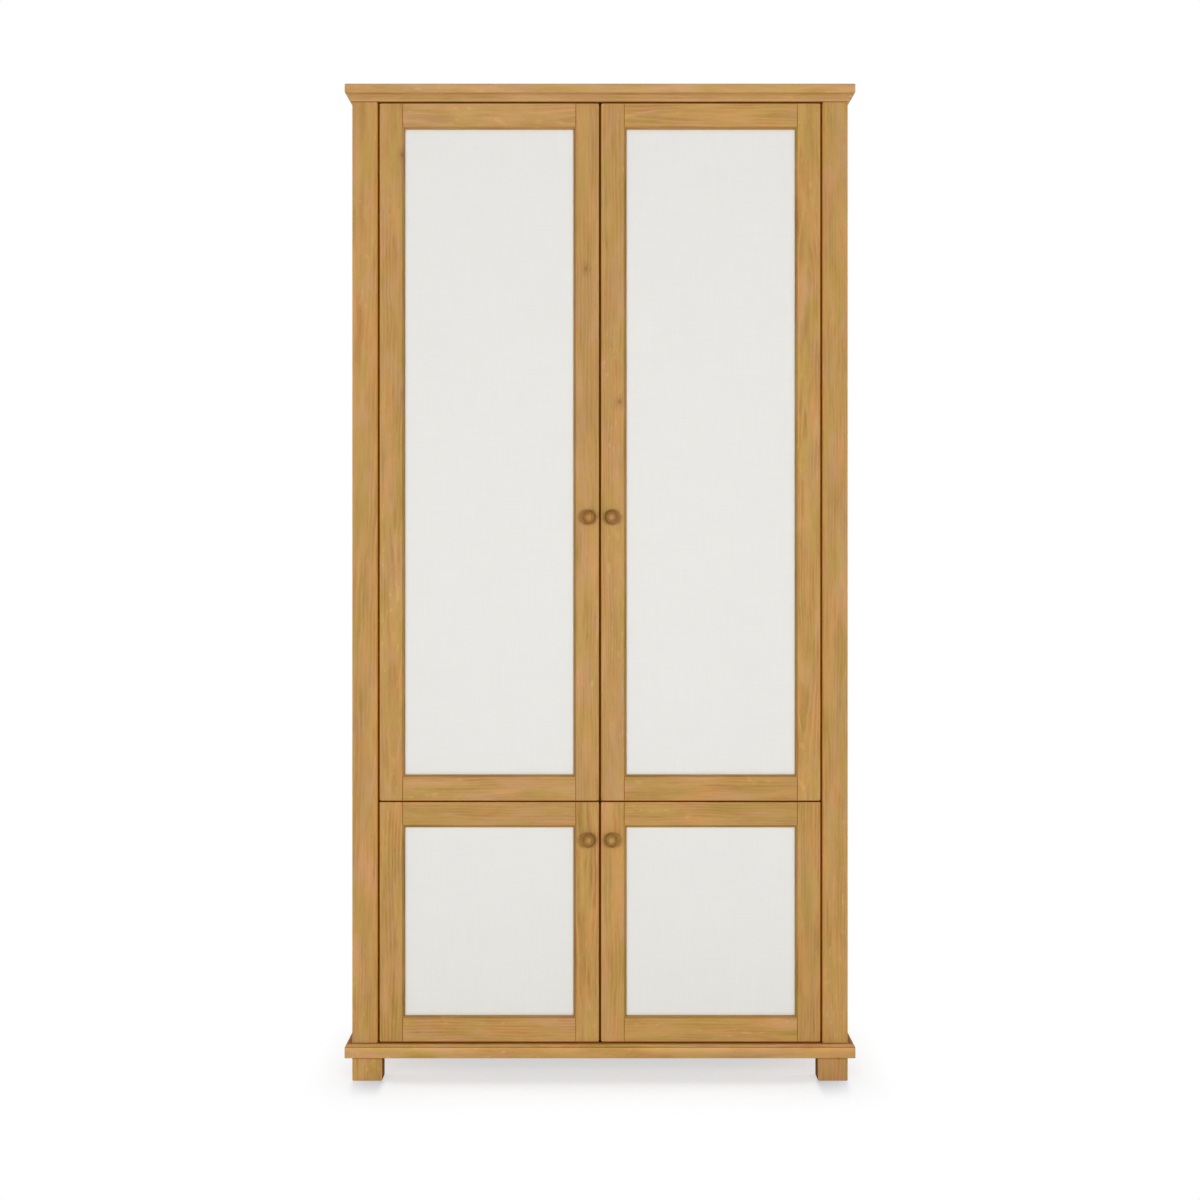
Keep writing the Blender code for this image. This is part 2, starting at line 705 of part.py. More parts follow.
def knob(word, side, parent, height):
    """The turned knob with its screw, which goes through the stile. The cutter for its hole is given back."""
    name = word + "_knob"
    place = door_point(side, DOOR_WIDTH - KNOB_INSET, 0, height)
    mesh = turned_mesh(name, knob_profile(), KNOB_STEPS)
    mesh.transform(Matrix.Rotation(math.pi / 2, 4, "X"))
    obj = finished(name, mesh, oak, place - Vector((0, SEAT_GAP, 0)), parent)
    back = place + Vector((0, DOOR_THICKNESS + SEAT_GAP, 0))
    shank = rod_helper(
        word + "_screw_shank", SCREW_DIAMETER / 2, place - Vector((0, SCREW_REACH, 0)),
        back + Vector((0, SCREW_HEAD_HEIGHT / 2, 0)), "Y", SCREW_STEPS,
    )
    head = rod_helper(
        word + "_screw_head", SCREW_HEAD_DIAMETER / 2, back,
        back + Vector((0, SCREW_HEAD_HEIGHT, 0)), "Y", SCREW_STEPS,
    )
    boolean(obj, shank, "UNION")
    boolean(obj, head, "UNION")
    return rod_helper(
        word + "_screw_hole", SCREW_DIAMETER / 2 + SEAT_GAP, place - Vector((0, CUT_OVERRUN, 0)),
        place + Vector((0, DOOR_THICKNESS + CUT_OVERRUN, 0)), "Y", SCREW_STEPS,
    )


def hinge_heights(foot, top, count):
    end = HINGE_END_DISTANCE if count > 2 else SHORT_DOOR_HINGE_DISTANCE
    low, high = foot + end, top - end
    return [low + (high - low) * number / (count - 1) for number in range(count)]


def cup_mesh():
    """A hinge cup with its flange and pin, at height 0 of a left-hand door."""
    radius = CUP_DIAMETER / 2
    inner = radius - CUP_WALL
    flange_front = DOOR_THICKNESS - SEAT_GAP
    flange_back = flange_front + FLANGE_THICKNESS
    rim = flange_back + FLANGE_LIP
    profile = [
        (0, CUP_FLOOR_BACKSET), (inner, CUP_FLOOR_BACKSET), (inner, rim),
        (radius, rim), (radius, CUP_BACKSET), (0, CUP_BACKSET),
    ]
    centre = Vector((-HINGE_EDGE + CUP_INSET, FRONT, 0))
    to_back = Matrix.Rotation(-math.pi / 2, 4, "X")
    mesh = turned_mesh("cup_shell", profile, CUP_STEPS)
    mesh.transform(Matrix.Translation(centre) @ to_back)
    shell = helper("cup_shell", mesh)
    plate_x = centre.x + FLANGE_OFFSET
    flange = block_helper(
        "cup_flange",
        (plate_x - FLANGE_WIDTH / 2, FRONT + flange_front, -FLANGE_LENGTH / 2),
        (plate_x + FLANGE_WIDTH / 2, FRONT + flange_back, FLANGE_LENGTH / 2),
    )
    corners = flange.modifiers.new("corners", "BEVEL")
    corners.width = FLANGE_CORNER
    corners.segments = 2
    corners.limit_method = "WEIGHT"
    weights = flange.data.attributes.new("bevel_weight_edge", "FLOAT", "EDGE")
    for edge in flange.data.edges:
        ends = [flange.data.vertices[v].co for v in edge.vertices]
        weights.data[edge.index].value = float(abs(ends[0].y - ends[1].y) > FLANGE_THICKNESS / 2)
    mouth = (radius + inner) / 2
    boolean(flange, rod_helper(
        "cup_mouth", mouth, centre + Vector((0, DOOR_THICKNESS - CUT_OVERRUN, 0)),
        centre + Vector((0, DOOR_THICKNESS + CUT_OVERRUN, 0)), "Y", CUP_STEPS,
    ))
    boolean(shell, flange, "UNION")
    pin_at = Vector((-HINGE_EDGE + HINGE_INSET, FRONT + HINGE_DEPTH, 0))
    chord = math.sqrt(mouth ** 2 - (HINGE_INSET - CUP_INSET) ** 2)
    reach = Vector((0, 0, chord))
    pin = rod_helper("cup_pin", PIN_RADIUS, pin_at - reach, pin_at + reach, "Z", SCREW_STEPS)
    boolean(shell, pin, "UNION")
    return evaluated_mesh(shell, "hinge_cup")


def around_pivot(reach, angle):
    """A point of the hinge in (u, v), at this reach and angle from the pin."""
    return (HINGE_INSET + reach * math.cos(angle), HINGE_DEPTH + reach * math.sin(angle))


def arm_path():
    """The arm's middle line as (u, v, half thickness): out of the cup, round the swing of the door's
    back corner, and along the plate."""
    neck = NECK_THICKNESS / 2
    thick = ARM_THICKNESS / 2
    rear_u = -DOOR_GAP + PLATE_RIDGE + thick
    end_v = POST_DEPTH - ARM_END_SETBACK
    start_angle = math.radians(NECK_TURN_ANGLES[0])
    path = [(*around_pivot(EYE_RADIUS * NECK_START_SHARE, start_angle), neck)]
    for share, angle in zip(NECK_TURN_SHARES, NECK_TURN_ANGLES):
        path.append((*around_pivot(NECK_REACH * share, math.radians(angle)), neck))
    back_u, back_v, _ = path[-1]
    across_share, behind_share = NECK_RETURN_SHARES
    path.append((rear_u + (back_u - rear_u) * across_share, back_v + ARM_THICKNESS * behind_share, neck))
    out_share, along_share = ARM_BEND_SHARES
    bend_v = PLATE_FRONT_SETBACK + ARM_THICKNESS * along_share
    path.append((rear_u + ARM_THICKNESS * out_share, bend_v, (neck + thick) / 2))
    path.append((rear_u, PLATE_FRONT_SETBACK + ARM_THICKNESS * ARM_STRAIGHT_SHARE, thick))
    path.append((rear_u, end_v, thick))
    return path


def ribbon(path):
    """The outline of a strip of varying thickness round a middle line."""
    near, far = [], []
    for number, (u, v, half) in enumerate(path):
        before = path[max(number - 1, 0)]
        after = path[min(number + 1, len(path) - 1)]
        run = Vector((after[0] - before[0], after[1] - before[1])).normalized()
        near.append((u - run.y * half, v + run.x * half))
        far.append((u + run.y * half, v - run.x * half))
    return near + far[::-1]


def arm_mesh():
    """A hinge arm on its plate, with the eye that the cup's pin turns in, at height 0 of a left-hand door."""
    points = [(-HINGE_EDGE + u, FRONT + v) for u, v in ribbon(arm_path())]
    arm = helper("arm_strip", outline_mesh("arm_strip", points, ARM_WIDTH))
    pin_at = Vector((-HINGE_EDGE + HINGE_INSET, FRONT + HINGE_DEPTH, 0))
    half = Vector((0, 0, ARM_WIDTH / 2))
    over = Vector((0, 0, ARM_WIDTH))
    boolean(arm, rod_helper("arm_eye", EYE_RADIUS, pin_at - half, pin_at + half, "Z", CUP_STEPS), "UNION")
    bore = PIN_RADIUS + PIN_PLAY
    boolean(arm, rod_helper("arm_bore", bore, pin_at - over, pin_at + over, "Z", SCREW_STEPS))
    join_plate(arm)
    return evaluated_mesh(arm, "hinge_arm")


def join_plate(arm):
    """Fuses the arm with its cross-shaped plate on the post."""
    face = -OPENING_HALF + SEAT_GAP
    ridge = block_helper(
        "plate_ridge", (face, FRONT + PLATE_FRONT_SETBACK, -PLATE_RIDGE_WIDTH / 2),
        (face + PLATE_RIDGE, POST_BACK - ARM_END_SETBACK * 2, PLATE_RIDGE_WIDTH / 2),
    )
    screw_y = FRONT + PLATE_SCREW_SETBACK
    wings = block_helper(
        "plate_wings", (face, screw_y - PLATE_WING_WIDTH / 2, -PLATE_WING_LENGTH / 2),
        (face + PLATE_THICKNESS, screw_y + PLATE_WING_WIDTH / 2, PLATE_WING_LENGTH / 2),
    )
    boolean(arm, ridge, "UNION")
    boolean(arm, wings, "UNION")


def door(word, side, foot, top, knob_height, places, cup, arm):
    """One door on its pivot, with its hinges: the cups pressed into the stile, the arms on the post."""
    pivot = bpy.data.objects.new(word + "_pivot", None)
    pivot.location = door_point(side, HINGE_INSET, HINGE_DEPTH, foot)
    bpy.data.collections[PARTS].objects.link(pivot)
    bpy.context.view_layer.update()
    hinge_stile = stile(word + "_hinge_stile", side, pivot, foot, top, False)
    meeting_stile = stile(word + "_meeting_stile", side, pivot, foot, top, True)
    rail(word + "_top_rail", side, pivot, top, -1)
    rail(word + "_bottom_rail", side, pivot, foot, 1)
    door_panel(word + "_panel", side, pivot, foot, top)
    boolean(meeting_stile, knob(word, side, pivot, knob_height))
    heights = hinge_heights(foot, top, len(places))
    moves = [Matrix.Translation((0, 0, height)) @ to_side(side) for height in heights]
    bore = rod_mesh(
        "cup_bore", CUP_DIAMETER / 2 - CUP_WALL / 2, (0, 0, 0),
        (0, DOOR_THICKNESS - CUP_BACKSET - CUP_WALL / 2 + CUT_OVERRUN, 0), "Y", CUP_STEPS,
    )
    bore_v = (CUP_BACKSET + CUP_WALL / 2 + DOOR_THICKNESS + CUT_OVERRUN) / 2
    bore.transform(Matrix.Translation(door_point(-1, CUP_INSET, bore_v, 0)))
    boolean(hinge_stile, helper(word + "_cup_bores", repeated(word + "_cup_bores", bore, moves)))
    boolean(hinge_stile, helper(word + "_hinge_cups", repeated(word + "_hinge_cups", cup, moves)), "UNION")
    for place, move in zip(places, moves):
        name = word + "_hinge_arm_" + place
        finished(name, repeated(name, arm, [move]), steel)


def doors():
    cup, arm = cup_mesh(), arm_mesh()
    upper_knob = UPPER_DOOR_FOOT + UPPER_KNOB_ABOVE_DOOR_FOOT
    lower_knob = LOWER_DOOR_TOP - LOWER_KNOB_BELOW_DOOR_TOP
    three, two = ("bottom", "middle", "top"), ("bottom", "top")
    for hand, side in (("left", -1), ("right", 1)):
        door("upper_" + hand, side, UPPER_DOOR_FOOT, UPPER_DOOR_TOP, upper_knob, three, cup, arm)
        door("lower_" + hand, side, LOWER_DOOR_FOOT, LOWER_DOOR_TOP, lower_knob, two, cup, arm)


def main():
    clear_scene()
    feet()
    base_board()
    for word, side in (("left", -1), ("right", 1)):
        front_post("front_" + word + "_post", side)
        rear_stile("rear_" + word + "_stile", side)
        side_frame(word, side)
    back_panel()
    carcass_top()
    cornice_moulding()
    top_board()
    shelves()
    doors()


main()
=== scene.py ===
"""Looks of the tall oak cabinet: eased oak boards, linen panels, turned knobs, hinges and their screws."""

import contextlib
import json
import math
import random

import bmesh
import bpy
from mathutils import Matrix, Vector


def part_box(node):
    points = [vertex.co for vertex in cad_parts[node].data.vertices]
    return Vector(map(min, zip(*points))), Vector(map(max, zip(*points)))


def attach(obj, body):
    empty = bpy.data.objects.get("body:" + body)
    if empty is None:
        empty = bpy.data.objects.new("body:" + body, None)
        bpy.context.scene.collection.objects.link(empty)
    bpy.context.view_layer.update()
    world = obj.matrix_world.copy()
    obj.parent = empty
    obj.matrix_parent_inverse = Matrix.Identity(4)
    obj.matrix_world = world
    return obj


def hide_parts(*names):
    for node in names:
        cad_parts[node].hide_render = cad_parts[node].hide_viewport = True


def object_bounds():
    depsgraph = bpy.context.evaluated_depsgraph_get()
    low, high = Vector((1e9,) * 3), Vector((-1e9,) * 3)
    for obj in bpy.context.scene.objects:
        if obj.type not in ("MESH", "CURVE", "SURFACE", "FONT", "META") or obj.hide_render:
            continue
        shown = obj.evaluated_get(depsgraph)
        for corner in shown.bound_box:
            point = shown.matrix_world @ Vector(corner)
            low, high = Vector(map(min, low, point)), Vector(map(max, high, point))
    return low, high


bl_info = {
    "name": "Tall oak cabinet",
    "version": (1, 0, 0),
    "blender": (4, 5, 0),
    "location": "3D View > Sidebar > Cabinet",
    "description": "Dresses the frame of a tall oak cabinet with eased boards, linen, knobs and hinges",
    "category": "Add Mesh",
}

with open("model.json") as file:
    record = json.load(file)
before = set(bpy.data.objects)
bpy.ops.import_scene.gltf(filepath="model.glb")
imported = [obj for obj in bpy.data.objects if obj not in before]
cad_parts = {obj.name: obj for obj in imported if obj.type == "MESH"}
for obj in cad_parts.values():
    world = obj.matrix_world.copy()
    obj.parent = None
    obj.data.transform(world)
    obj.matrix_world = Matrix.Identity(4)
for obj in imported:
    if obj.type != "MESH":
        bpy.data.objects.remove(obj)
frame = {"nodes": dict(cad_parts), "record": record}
CAD_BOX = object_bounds()
BODIES = {
    name: next(body for body, names in frame["record"]["behaviour"]["bodies"].items() if name in names)
    for name in frame["nodes"]
}

BOXES = {name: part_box(name) for name in frame["nodes"]}

# What the photograph shows, in its own pixels: 1200 across, where 1 m on the cabinet's front is 498.4
PHOTO_SCALE = 498.4
PHOTO_MIDDLE = 600.2
PHOTO_FLOOR = 1080.7

# Places of the frame that the pieces sit on, in metres
FRONT = BOXES["front_left_post"][0].y
DOOR_BACK = BOXES["upper_left_meeting_stile"][1].y
OPENING_HALF = 0.447
BODY_HALF = 0.4975
SIDE_INNER = 0.4755
PANEL_FACE = BOXES["upper_left_panel"][0].y
CARCASS_BACK = BOXES["back_panel"][1].y
FOOT_MIDDLE = (BOXES["front_right_foot"][0].x + BOXES["front_right_foot"][1].x) / 2
MIDDLE_HEIGHT = (CAD_BOX[0].z + CAD_BOX[1].z) / 2
WORDS = ("upper_left", "lower_left", "upper_right", "lower_right")
BACKWARD = Vector((0, 1, 0))

MERGE_DISTANCE = 0.00002
FLAT_ANGLE = math.radians(0.4)
SHARP_ANGLE = math.radians(32)
EASED_ANGLE = math.radians(55)
SHORTEST_EASED = 0.0014
CLEARANCE = 0.00005
STICKING_WIDTH = 0.005
EDGE_STEP = 0.0004
GAP_DEPTH = 0.022
SEAM_DEPTH = 0.006
MEETING_SETBACK = 0.0048
STRIP_SETBACK = 0.0023
STRIP_WIDTH = 0.0030
STRIP_REACH = 0.0016
STRIP_STEPS = 6
# Painted light and shade on the pile strips, by how light falls in each gap: darker in the meeting gaps,
# brighter at the feet and the posts
STRIP_LIGHT_AND_SHADE = (("meeting", 0.43), ("foot", 1.4), ("post", 1.35))
RAIL_OUTER = 0.3967
RAIL_INNER = 0.0483
SHOULDER_WIDTH = 0.0010
SHOULDER_DEPTH = 0.0007
SHOULDER_FACING = 0.9
LEVEL_FACING = 0.9
TURNED_FACING = 0.98
ARRIS_WIDTH = 0.0009
BEHIND = 0.0002
QUIRK_LOW = 0.0691
QUIRK_HEIGHT = 0.0012
LIP_HEIGHT = 0.0012
COVE_HEIGHT = 0.0108

# How much painted shade some edges and hollows get, where the full amount is 1 (partly oil in the cove)
COVE_OIL_AND_SHADE = 0.4
CORNICE_END_SHADE = 0.45
LIP_SHADOW = 0.2
FOOT_SHADE = 0.5
BASE_SIDE_SHADE = 0.45
BASE_LEDGE_SHADE = 0.7
BASE_TOP_SHADE = 0.35
HEAD_GAP_SHADE = 0.15
HINGE_ARRIS_SHADE = 0.8
MEETING_ARRIS_SHADE = 0.3

# What painted shade, partly oil and dark joints, does to the colour of oak, in the mouldings and on the edges
# round the doors
OIL_AND_SHADE_TINT = (0.76, 0.74, 0.62)
JOINT_AND_SHADE_TINT = (0.52, 0.27, 0.03)
# A painted highlight along the top of the base's face, where light from above falls: its strength and height
PAINTED_HIGHLIGHT_TONE = 0.28
PAINTED_HIGHLIGHT_HEIGHT = 0.0115

# Turns of the weave's wave to a metre of linen, whose threads lie 1.1 mm apart
THREAD_TURN = 2 * math.pi / 0.0011


def linear(red, green, blue):
    """The linear colour of a colour written in 0 to 255."""
    return tuple(
        value / 255 / 12.92 if value / 255 <= 0.04045 else ((value / 255 + 0.055) / 1.055) ** 2.4
        for value in (red, green, blue)
    )


def size_property(name, description, default):
    return bpy.props.FloatProperty(
        name=name, description=description, default=default, unit="LENGTH", subtype="DISTANCE", precision=5
    )


def colour_property(name, description, default):
    return bpy.props.FloatVectorProperty(
        name=name, description=description, default=default, size=3, subtype="COLOR", min=0, max=1
    )


def share_property(name, description, default, top=1.0):
    return bpy.props.FloatProperty(
        name=name, description=description, default=default, min=0, max=top, subtype="FACTOR"
    )


class CabinetFinish(bpy.types.PropertyGroup):
    """Colours and figures of the cabinet's finishes."""

    oak_colour: colour_property("Oak", "Oiled oak between its dark lines", linear(189, 147, 82))
    oak_dark: colour_property("Oak lines", "The dark lines of the yearly rings", linear(158, 108, 48))
    oak_orange: colour_property("Oak, warm streaks", "Streaks that lean to orange", linear(199, 145, 82))
    oak_olive: colour_property("Oak, green streaks", "Streaks that lean to olive", linear(178, 146, 68))
    oak_pink: colour_property("Oak, pale streaks", "Streaks that lean to pink", linear(194, 150, 102))
    knot_colour: colour_property("Knot", "The heart of a small knot", linear(126, 82, 42))
    ring_spacing: size_property("Ring spacing", "From one yearly ring to the next", 0.0060)
    back_colour: colour_property("Back board", "Veneer of the back panel", linear(196, 160, 108))
    linen_colour: colour_property("Linen", "Off-white linen on the door panels", linear(231, 230, 226))
    board_colour: colour_property("Panel board", "The bare back of the door panels", linear(205, 192, 168))
    pile_colour: colour_property("Dust strips", "Brown pile of the dust strips", linear(176, 98, 8))
    steel_colour: colour_property("Steel", "Nickel-plated steel", linear(206, 204, 198))


class CabinetDetail(bpy.types.PropertyGroup):
    """Sizes of the cabinet's small forms."""

    ease: size_property("Ease", "How far a board's edges are rounded", 0.0009)
    metal_ease: size_property("Steel ease", "How far the edges of the steel parts are rounded", 0.0002)
    linen_thickness: size_property("Linen thickness", "Thickness of the cloth on the panels", 0.0003)
    linen_step: size_property("Linen step", "Size of the faces of the cloth", 0.016)
    hole_diameter: size_property("Pin hole", "Diameter of a shelf pin's hole", 0.005)
    hole_depth: size_property("Pin hole depth", "Depth of a shelf pin's hole", 0.010)
    hole_pitch: size_property("Pin hole pitch", "From one pin hole to the next", 0.032)
    hole_count: bpy.props.IntProperty(
        name="Pin holes", description="Holes in the row round each shelf pin", default=5, min=1
    )
    screw_diameter: size_property("Hinge screw", "Diameter of a hinge screw's head", 0.0075)
    screw_height: size_property("Screw height", "How far a screw's head stands proud", 0.0014)
    recess_width: size_property("Recess width", "Width of the cross in a screw's head", 0.0010)


class CabinetStage(bpy.types.PropertyGroup):
    """Where the camera and the lamps stand, and how strong they are."""

    camera_distance: size_property("Camera distance", "From the camera to the cabinet's front", 5.0)
    camera_height: size_property("Camera height", "Height of the camera above the floor", 1.086)
    lens: bpy.props.FloatProperty(
        name="Lens", description="Focal length on a sensor 36 mm wide", default=74.7, unit="CAMERA"
    )
    shift: bpy.props.FloatProperty(name="Shift", description="Upward shift of the picture", default=-0.05)
    front_power: bpy.props.FloatProperty(
        name="Front lamps", description="Power of each lamp in front", default=88.0, unit="POWER"
    )
    side_power: bpy.props.FloatProperty(
        name="Side lamps", description="Power of the lamp on each side", default=90.0, unit="POWER"
    )
    rear_power: bpy.props.FloatProperty(
        name="Rear lamps", description="Power of each lamp behind", default=75.0, unit="POWER"
    )
    ambient: share_property("Ambient", "Strength of the light from all round", 0.225)
    floor_white: share_property("Floor white", "Share of the near floor that lamps don't light", 0.595)
    floor_lit: share_property("Floor lit", "Share of the near floor that lamps light", 0.505)
    floor_gloss: share_property("Floor gloss", "Share of the near floor that mirrors", 0.20)


# Node trees

class Wire:
    """A node's output. Sums, differences, products and quotients with it are Math nodes."""

    def __init__(self, tree, socket):
        self.tree = tree
        self.socket = socket

    def __add__(self, other):
        return number(self.tree, "ADD", self, other)

    def __sub__(self, other):
        return number(self.tree, "SUBTRACT", self, other)

    def __rsub__(self, other):
        return number(self.tree, "SUBTRACT", other, self)

    def __mul__(self, other):
        return number(self.tree, "MULTIPLY", self, other)

    def __truediv__(self, other):
        return number(self.tree, "DIVIDE", self, other)


def feed(node, sockets):
    """Sets a node's inputs to values, or links them to other nodes' outputs."""
    for key, value in dict(sockets).items():
        if isinstance(value, Wire):
            value = value.socket
        if isinstance(value, bpy.types.NodeSocket):
            node.id_data.links.new(value, node.inputs[key])
        else:
            node.inputs[key].default_value = value


def add(tree, kind, sockets=(), **settings):
    """A node with its settings and its inputs."""
    made = tree.nodes.new(kind)
    for name, value in settings.items():
        setattr(made, name, value)
    feed(made, sockets)
    return made


def wire(tree, kind, key=0, sockets=(), **settings):
    """One output of a new node."""
    return Wire(tree, add(tree, kind, sockets, **settings).outputs[key])


def number(tree, operation, *values, clamp=False):
    """A Math node's result."""
    return wire(tree, "ShaderNodeMath", 0, enumerate(values), operation=operation, use_clamp=clamp)


def vector(tree, operation, first, second):
    """A Vector Math node's result. The second value of a scaling is its number."""
    key = "Value" if operation == "LENGTH" else "Vector"
    sockets = {0: first, 3 if operation == "SCALE" else 1: second}
    return wire(tree, "ShaderNodeVectorMath", key, sockets, operation=operation)


def noise(tree, point, stretch, detail=2.0, roughness=0.5, kind="Fac"):
    """Noise over a point that is first stretched by three numbers."""
    place = vector(tree, "MULTIPLY", point, stretch)
    sockets = {"Vector": place, "Scale": 1.0, "Detail": detail, "Roughness": roughness}
    return wire(tree, "ShaderNodeTexNoise", kind, sockets)


def ramp(tree, value, low, high, to_low=0.0, to_high=1.0):
    """The value carried from one span to another, smoothly and no further than its ends."""
    sockets = enumerate((value, low, high, to_low, to_high))
    return wire(tree, "ShaderNodeMapRange", 0, sockets, interpolation_type="SMOOTHSTEP")


def blend(tree, share, first, second):
    """A mix of two colours."""
    return wire(tree, "ShaderNodeMix", 2, {0: share, 6: first, 7: second}, data_type="RGBA")


def attribute(tree, name, key="Fac"):
    return wire(tree, "ShaderNodeAttribute", key, attribute_name=name)


def place_on(tree):
    """The point of the object that is being shaded."""
    return wire(tree, "ShaderNodeTexCoord", "Object")


def split(tree, point):
    """The three numbers of a point."""
    return [Wire(tree, out) for out in add(tree, "ShaderNodeSeparateXYZ", {0: point}).outputs]


def relief(tree, height, strength, distance=0.0002):
    """The normal of a surface that stands out as a height says."""
    return wire(tree, "ShaderNodeBump", 0, {"Strength": strength, "Distance": distance, "Height": height})


def finish_tree(name):
    """A new material, its tree and its shader."""
    material = bpy.data.materials.new(name)
    material.use_nodes = True
    return material, material.node_tree, material.node_tree.nodes["Principled BSDF"]


def opaque(colour):
    return (*colour, 1.0)


def oak_finish(name, light, dark, contrast):
    """Oiled oak. Each board carries "grain", its place in the tree it was sawn from with the third axis
    along the fibres; "sawn", its tone, its warmth and the strength of its figure; and "knot", its place
    from the heart of its knot, in knots."""
    looks = bpy.context.scene.cabinet_finish
    material, tree, shader = finish_tree(name)
    grain, knot = attribute(tree, "grain", "Vector"), attribute(tree, "knot", "Vector")
    tone, warmth, strength = split(tree, attribute(tree, "sawn", "Vector"))
    from_knot = vector(tree, "LENGTH", knot, knot)
    near_knot = number(tree, "EXPONENT", from_knot * -0.55)
    wander = noise(tree, grain, (9, 9, 3.2), 3.0, 0.55, "Color")
    wander = vector(tree, "SUBTRACT", wander, (0.5, 0.5, 0.5))
    bent = vector(tree, "ADD", grain, vector(tree, "MULTIPLY", wander, (0.020, 0.020, 0)))
    around = vector(tree, "MULTIPLY", knot, (0.004, 0.004, 0))
    bent = vector(tree, "ADD", bent, vector(tree, "SCALE", around, near_knot))
    ring_at = vector(tree, "LENGTH", vector(tree, "MULTIPLY", bent, (1, 1, 0)), grain)
    turns = ring_at / looks.ring_spacing + noise(tree, bent, (60, 60, 3), 1.0) * 1.3
    phase = number(tree, "FRACT", turns)
    ring = ramp(tree, phase, 0.0, 0.55) * ramp(tree, phase, 0.86, 1.0, 1.0, 0.0)
    wide = noise(tree, bent, (48, 48, 7), 3.0, 0.55)
    streak = noise(tree, bent, (170, 170, 15), 3.0, 0.55)
    fibre = noise(tree, bent, (900, 900, 40), 2.0, 0.6)
    patch = noise(tree, bent, (45, 45, 8), 2.0)
    pore = ramp(tree, noise(tree, bent, (1500, 1500, 75), 1.0), 0.60, 0.72) * (ring * 0.8 + 0.2)
    broad = noise(tree, grain, (8, 8, 1.6), 1.0)
    darkness = ring * (ramp(tree, patch, 0.34, 0.66) * 0.40)
    darkness = darkness + ramp(tree, streak, 0.48, 0.74) * 0.28 + ramp(tree, fibre, 0.50, 0.74) * 0.14
    darkness = darkness * (strength * contrast) + pore * (0.30 * contrast)
    colour = blend(tree, number(tree, "MINIMUM", darkness, 0.95), opaque(light), opaque(dark))
    hue = noise(tree, bent, (44, 44, 9), 3.0, 0.50)
    blush = noise(tree, grain, (30, 30, 10), 2.0)
    shares = (
        (ramp(tree, hue, 0.50, 0.68) + warmth, looks.oak_orange),
        (ramp(tree, hue, 0.52, 0.34), looks.oak_olive),
        (ramp(tree, blush, 0.46, 0.66) - warmth, looks.oak_pink),
    )
    for share, tint in shares:
        tinted = vector(tree, "MULTIPLY", colour, tuple(a / b for a, b in zip(tint, looks.oak_colour)))
        colour = blend(tree, number(tree, "MULTIPLY", share, 0.62 * contrast, clamp=True), colour, tinted)
    fleck = ramp(tree, noise(tree, grain, (110, 110, 52), 2.0, 0.45), 0.60, 0.74)
    fleck = fleck * ramp(tree, broad, 0.46, 0.60)
    level = tone + (wide - 0.5) * 0.34 + (broad - 0.5) * 0.14 + fleck * (0.16 * contrast)
    # A painted highlight brightens the top of the base's face
    colour = vector(tree, "SCALE", colour, level + attribute(tree, "rub") * PAINTED_HIGHLIGHT_TONE)
    # Painted shade, partly oil and dark joints, darkens the hollows and the edges by the gaps
    hollow, seam = attribute(tree, "hollow"), attribute(tree, "seam")
    for share, tint in ((hollow, OIL_AND_SHADE_TINT), (seam, JOINT_AND_SHADE_TINT)):
        colour = blend(tree, share, colour, vector(tree, "MULTIPLY", colour, tint))
    heart = ramp(tree, from_knot, 0.15, 1.25, 0.62, 0.0)
    halo = ramp(tree, from_knot, 0.8, 2.6, 0.24, 0.0)
    colour = blend(tree, number(tree, "MAXIMUM", heart, halo), colour, opaque(looks.knot_colour))
    rough = fibre * 0.12 + 0.50 + number(tree, "MAXIMUM", hollow, seam) * 0.35 + pore * 0.12
    feed(shader, {
        "Base Color": colour, "Roughness": rough, "Specular IOR Level": 0.20,
        "Normal": relief(tree, fibre * 0.5 - pore, 0.35),
    })
    return material


def linen_finish():
    """Plain-woven linen with slubs in its warp and weft. It reads the cloth's own map, in metres."""
    looks = bpy.context.scene.cabinet_finish
    material, tree, shader = finish_tree("panel_linen")
    place = wire(tree, "ShaderNodeUVMap", uv_map="cloth")
    across, along, _ = split(tree, place)
    warp_slub = noise(tree, place, (900, 16, 1), 3.0, 0.65)
    weft_slub = noise(tree, place, (14, 900, 1), 3.0, 0.65)
    warp_wide = noise(tree, place, (260, 7, 1), 2.0)
    weft_wide = noise(tree, place, (6, 260, 1), 2.0)
    cloud = noise(tree, place, (9, 9, 1), 2.0)
    weave = number(tree, "SINE", across * THREAD_TURN) * number(tree, "SINE", along * THREAD_TURN)
    slub = (warp_slub + weft_slub - 1.0) * 0.07
    wide = (warp_wide + weft_wide - 1.0) * 0.03
    level = (slub + wide) + 1.0 + (cloud - 0.5) * 0.02 + weave * 0.012
    feed(shader, {
        "Base Color": vector(tree, "SCALE", looks.linen_colour[:], level), "Roughness": 0.92,
        "Specular IOR Level": 0.12, "Sheen Weight": 0.05, "Sheen Roughness": 0.5,
        "Normal": relief(tree, weave * 0.5 + slub * 6.0, 0.30),
    })
    return material


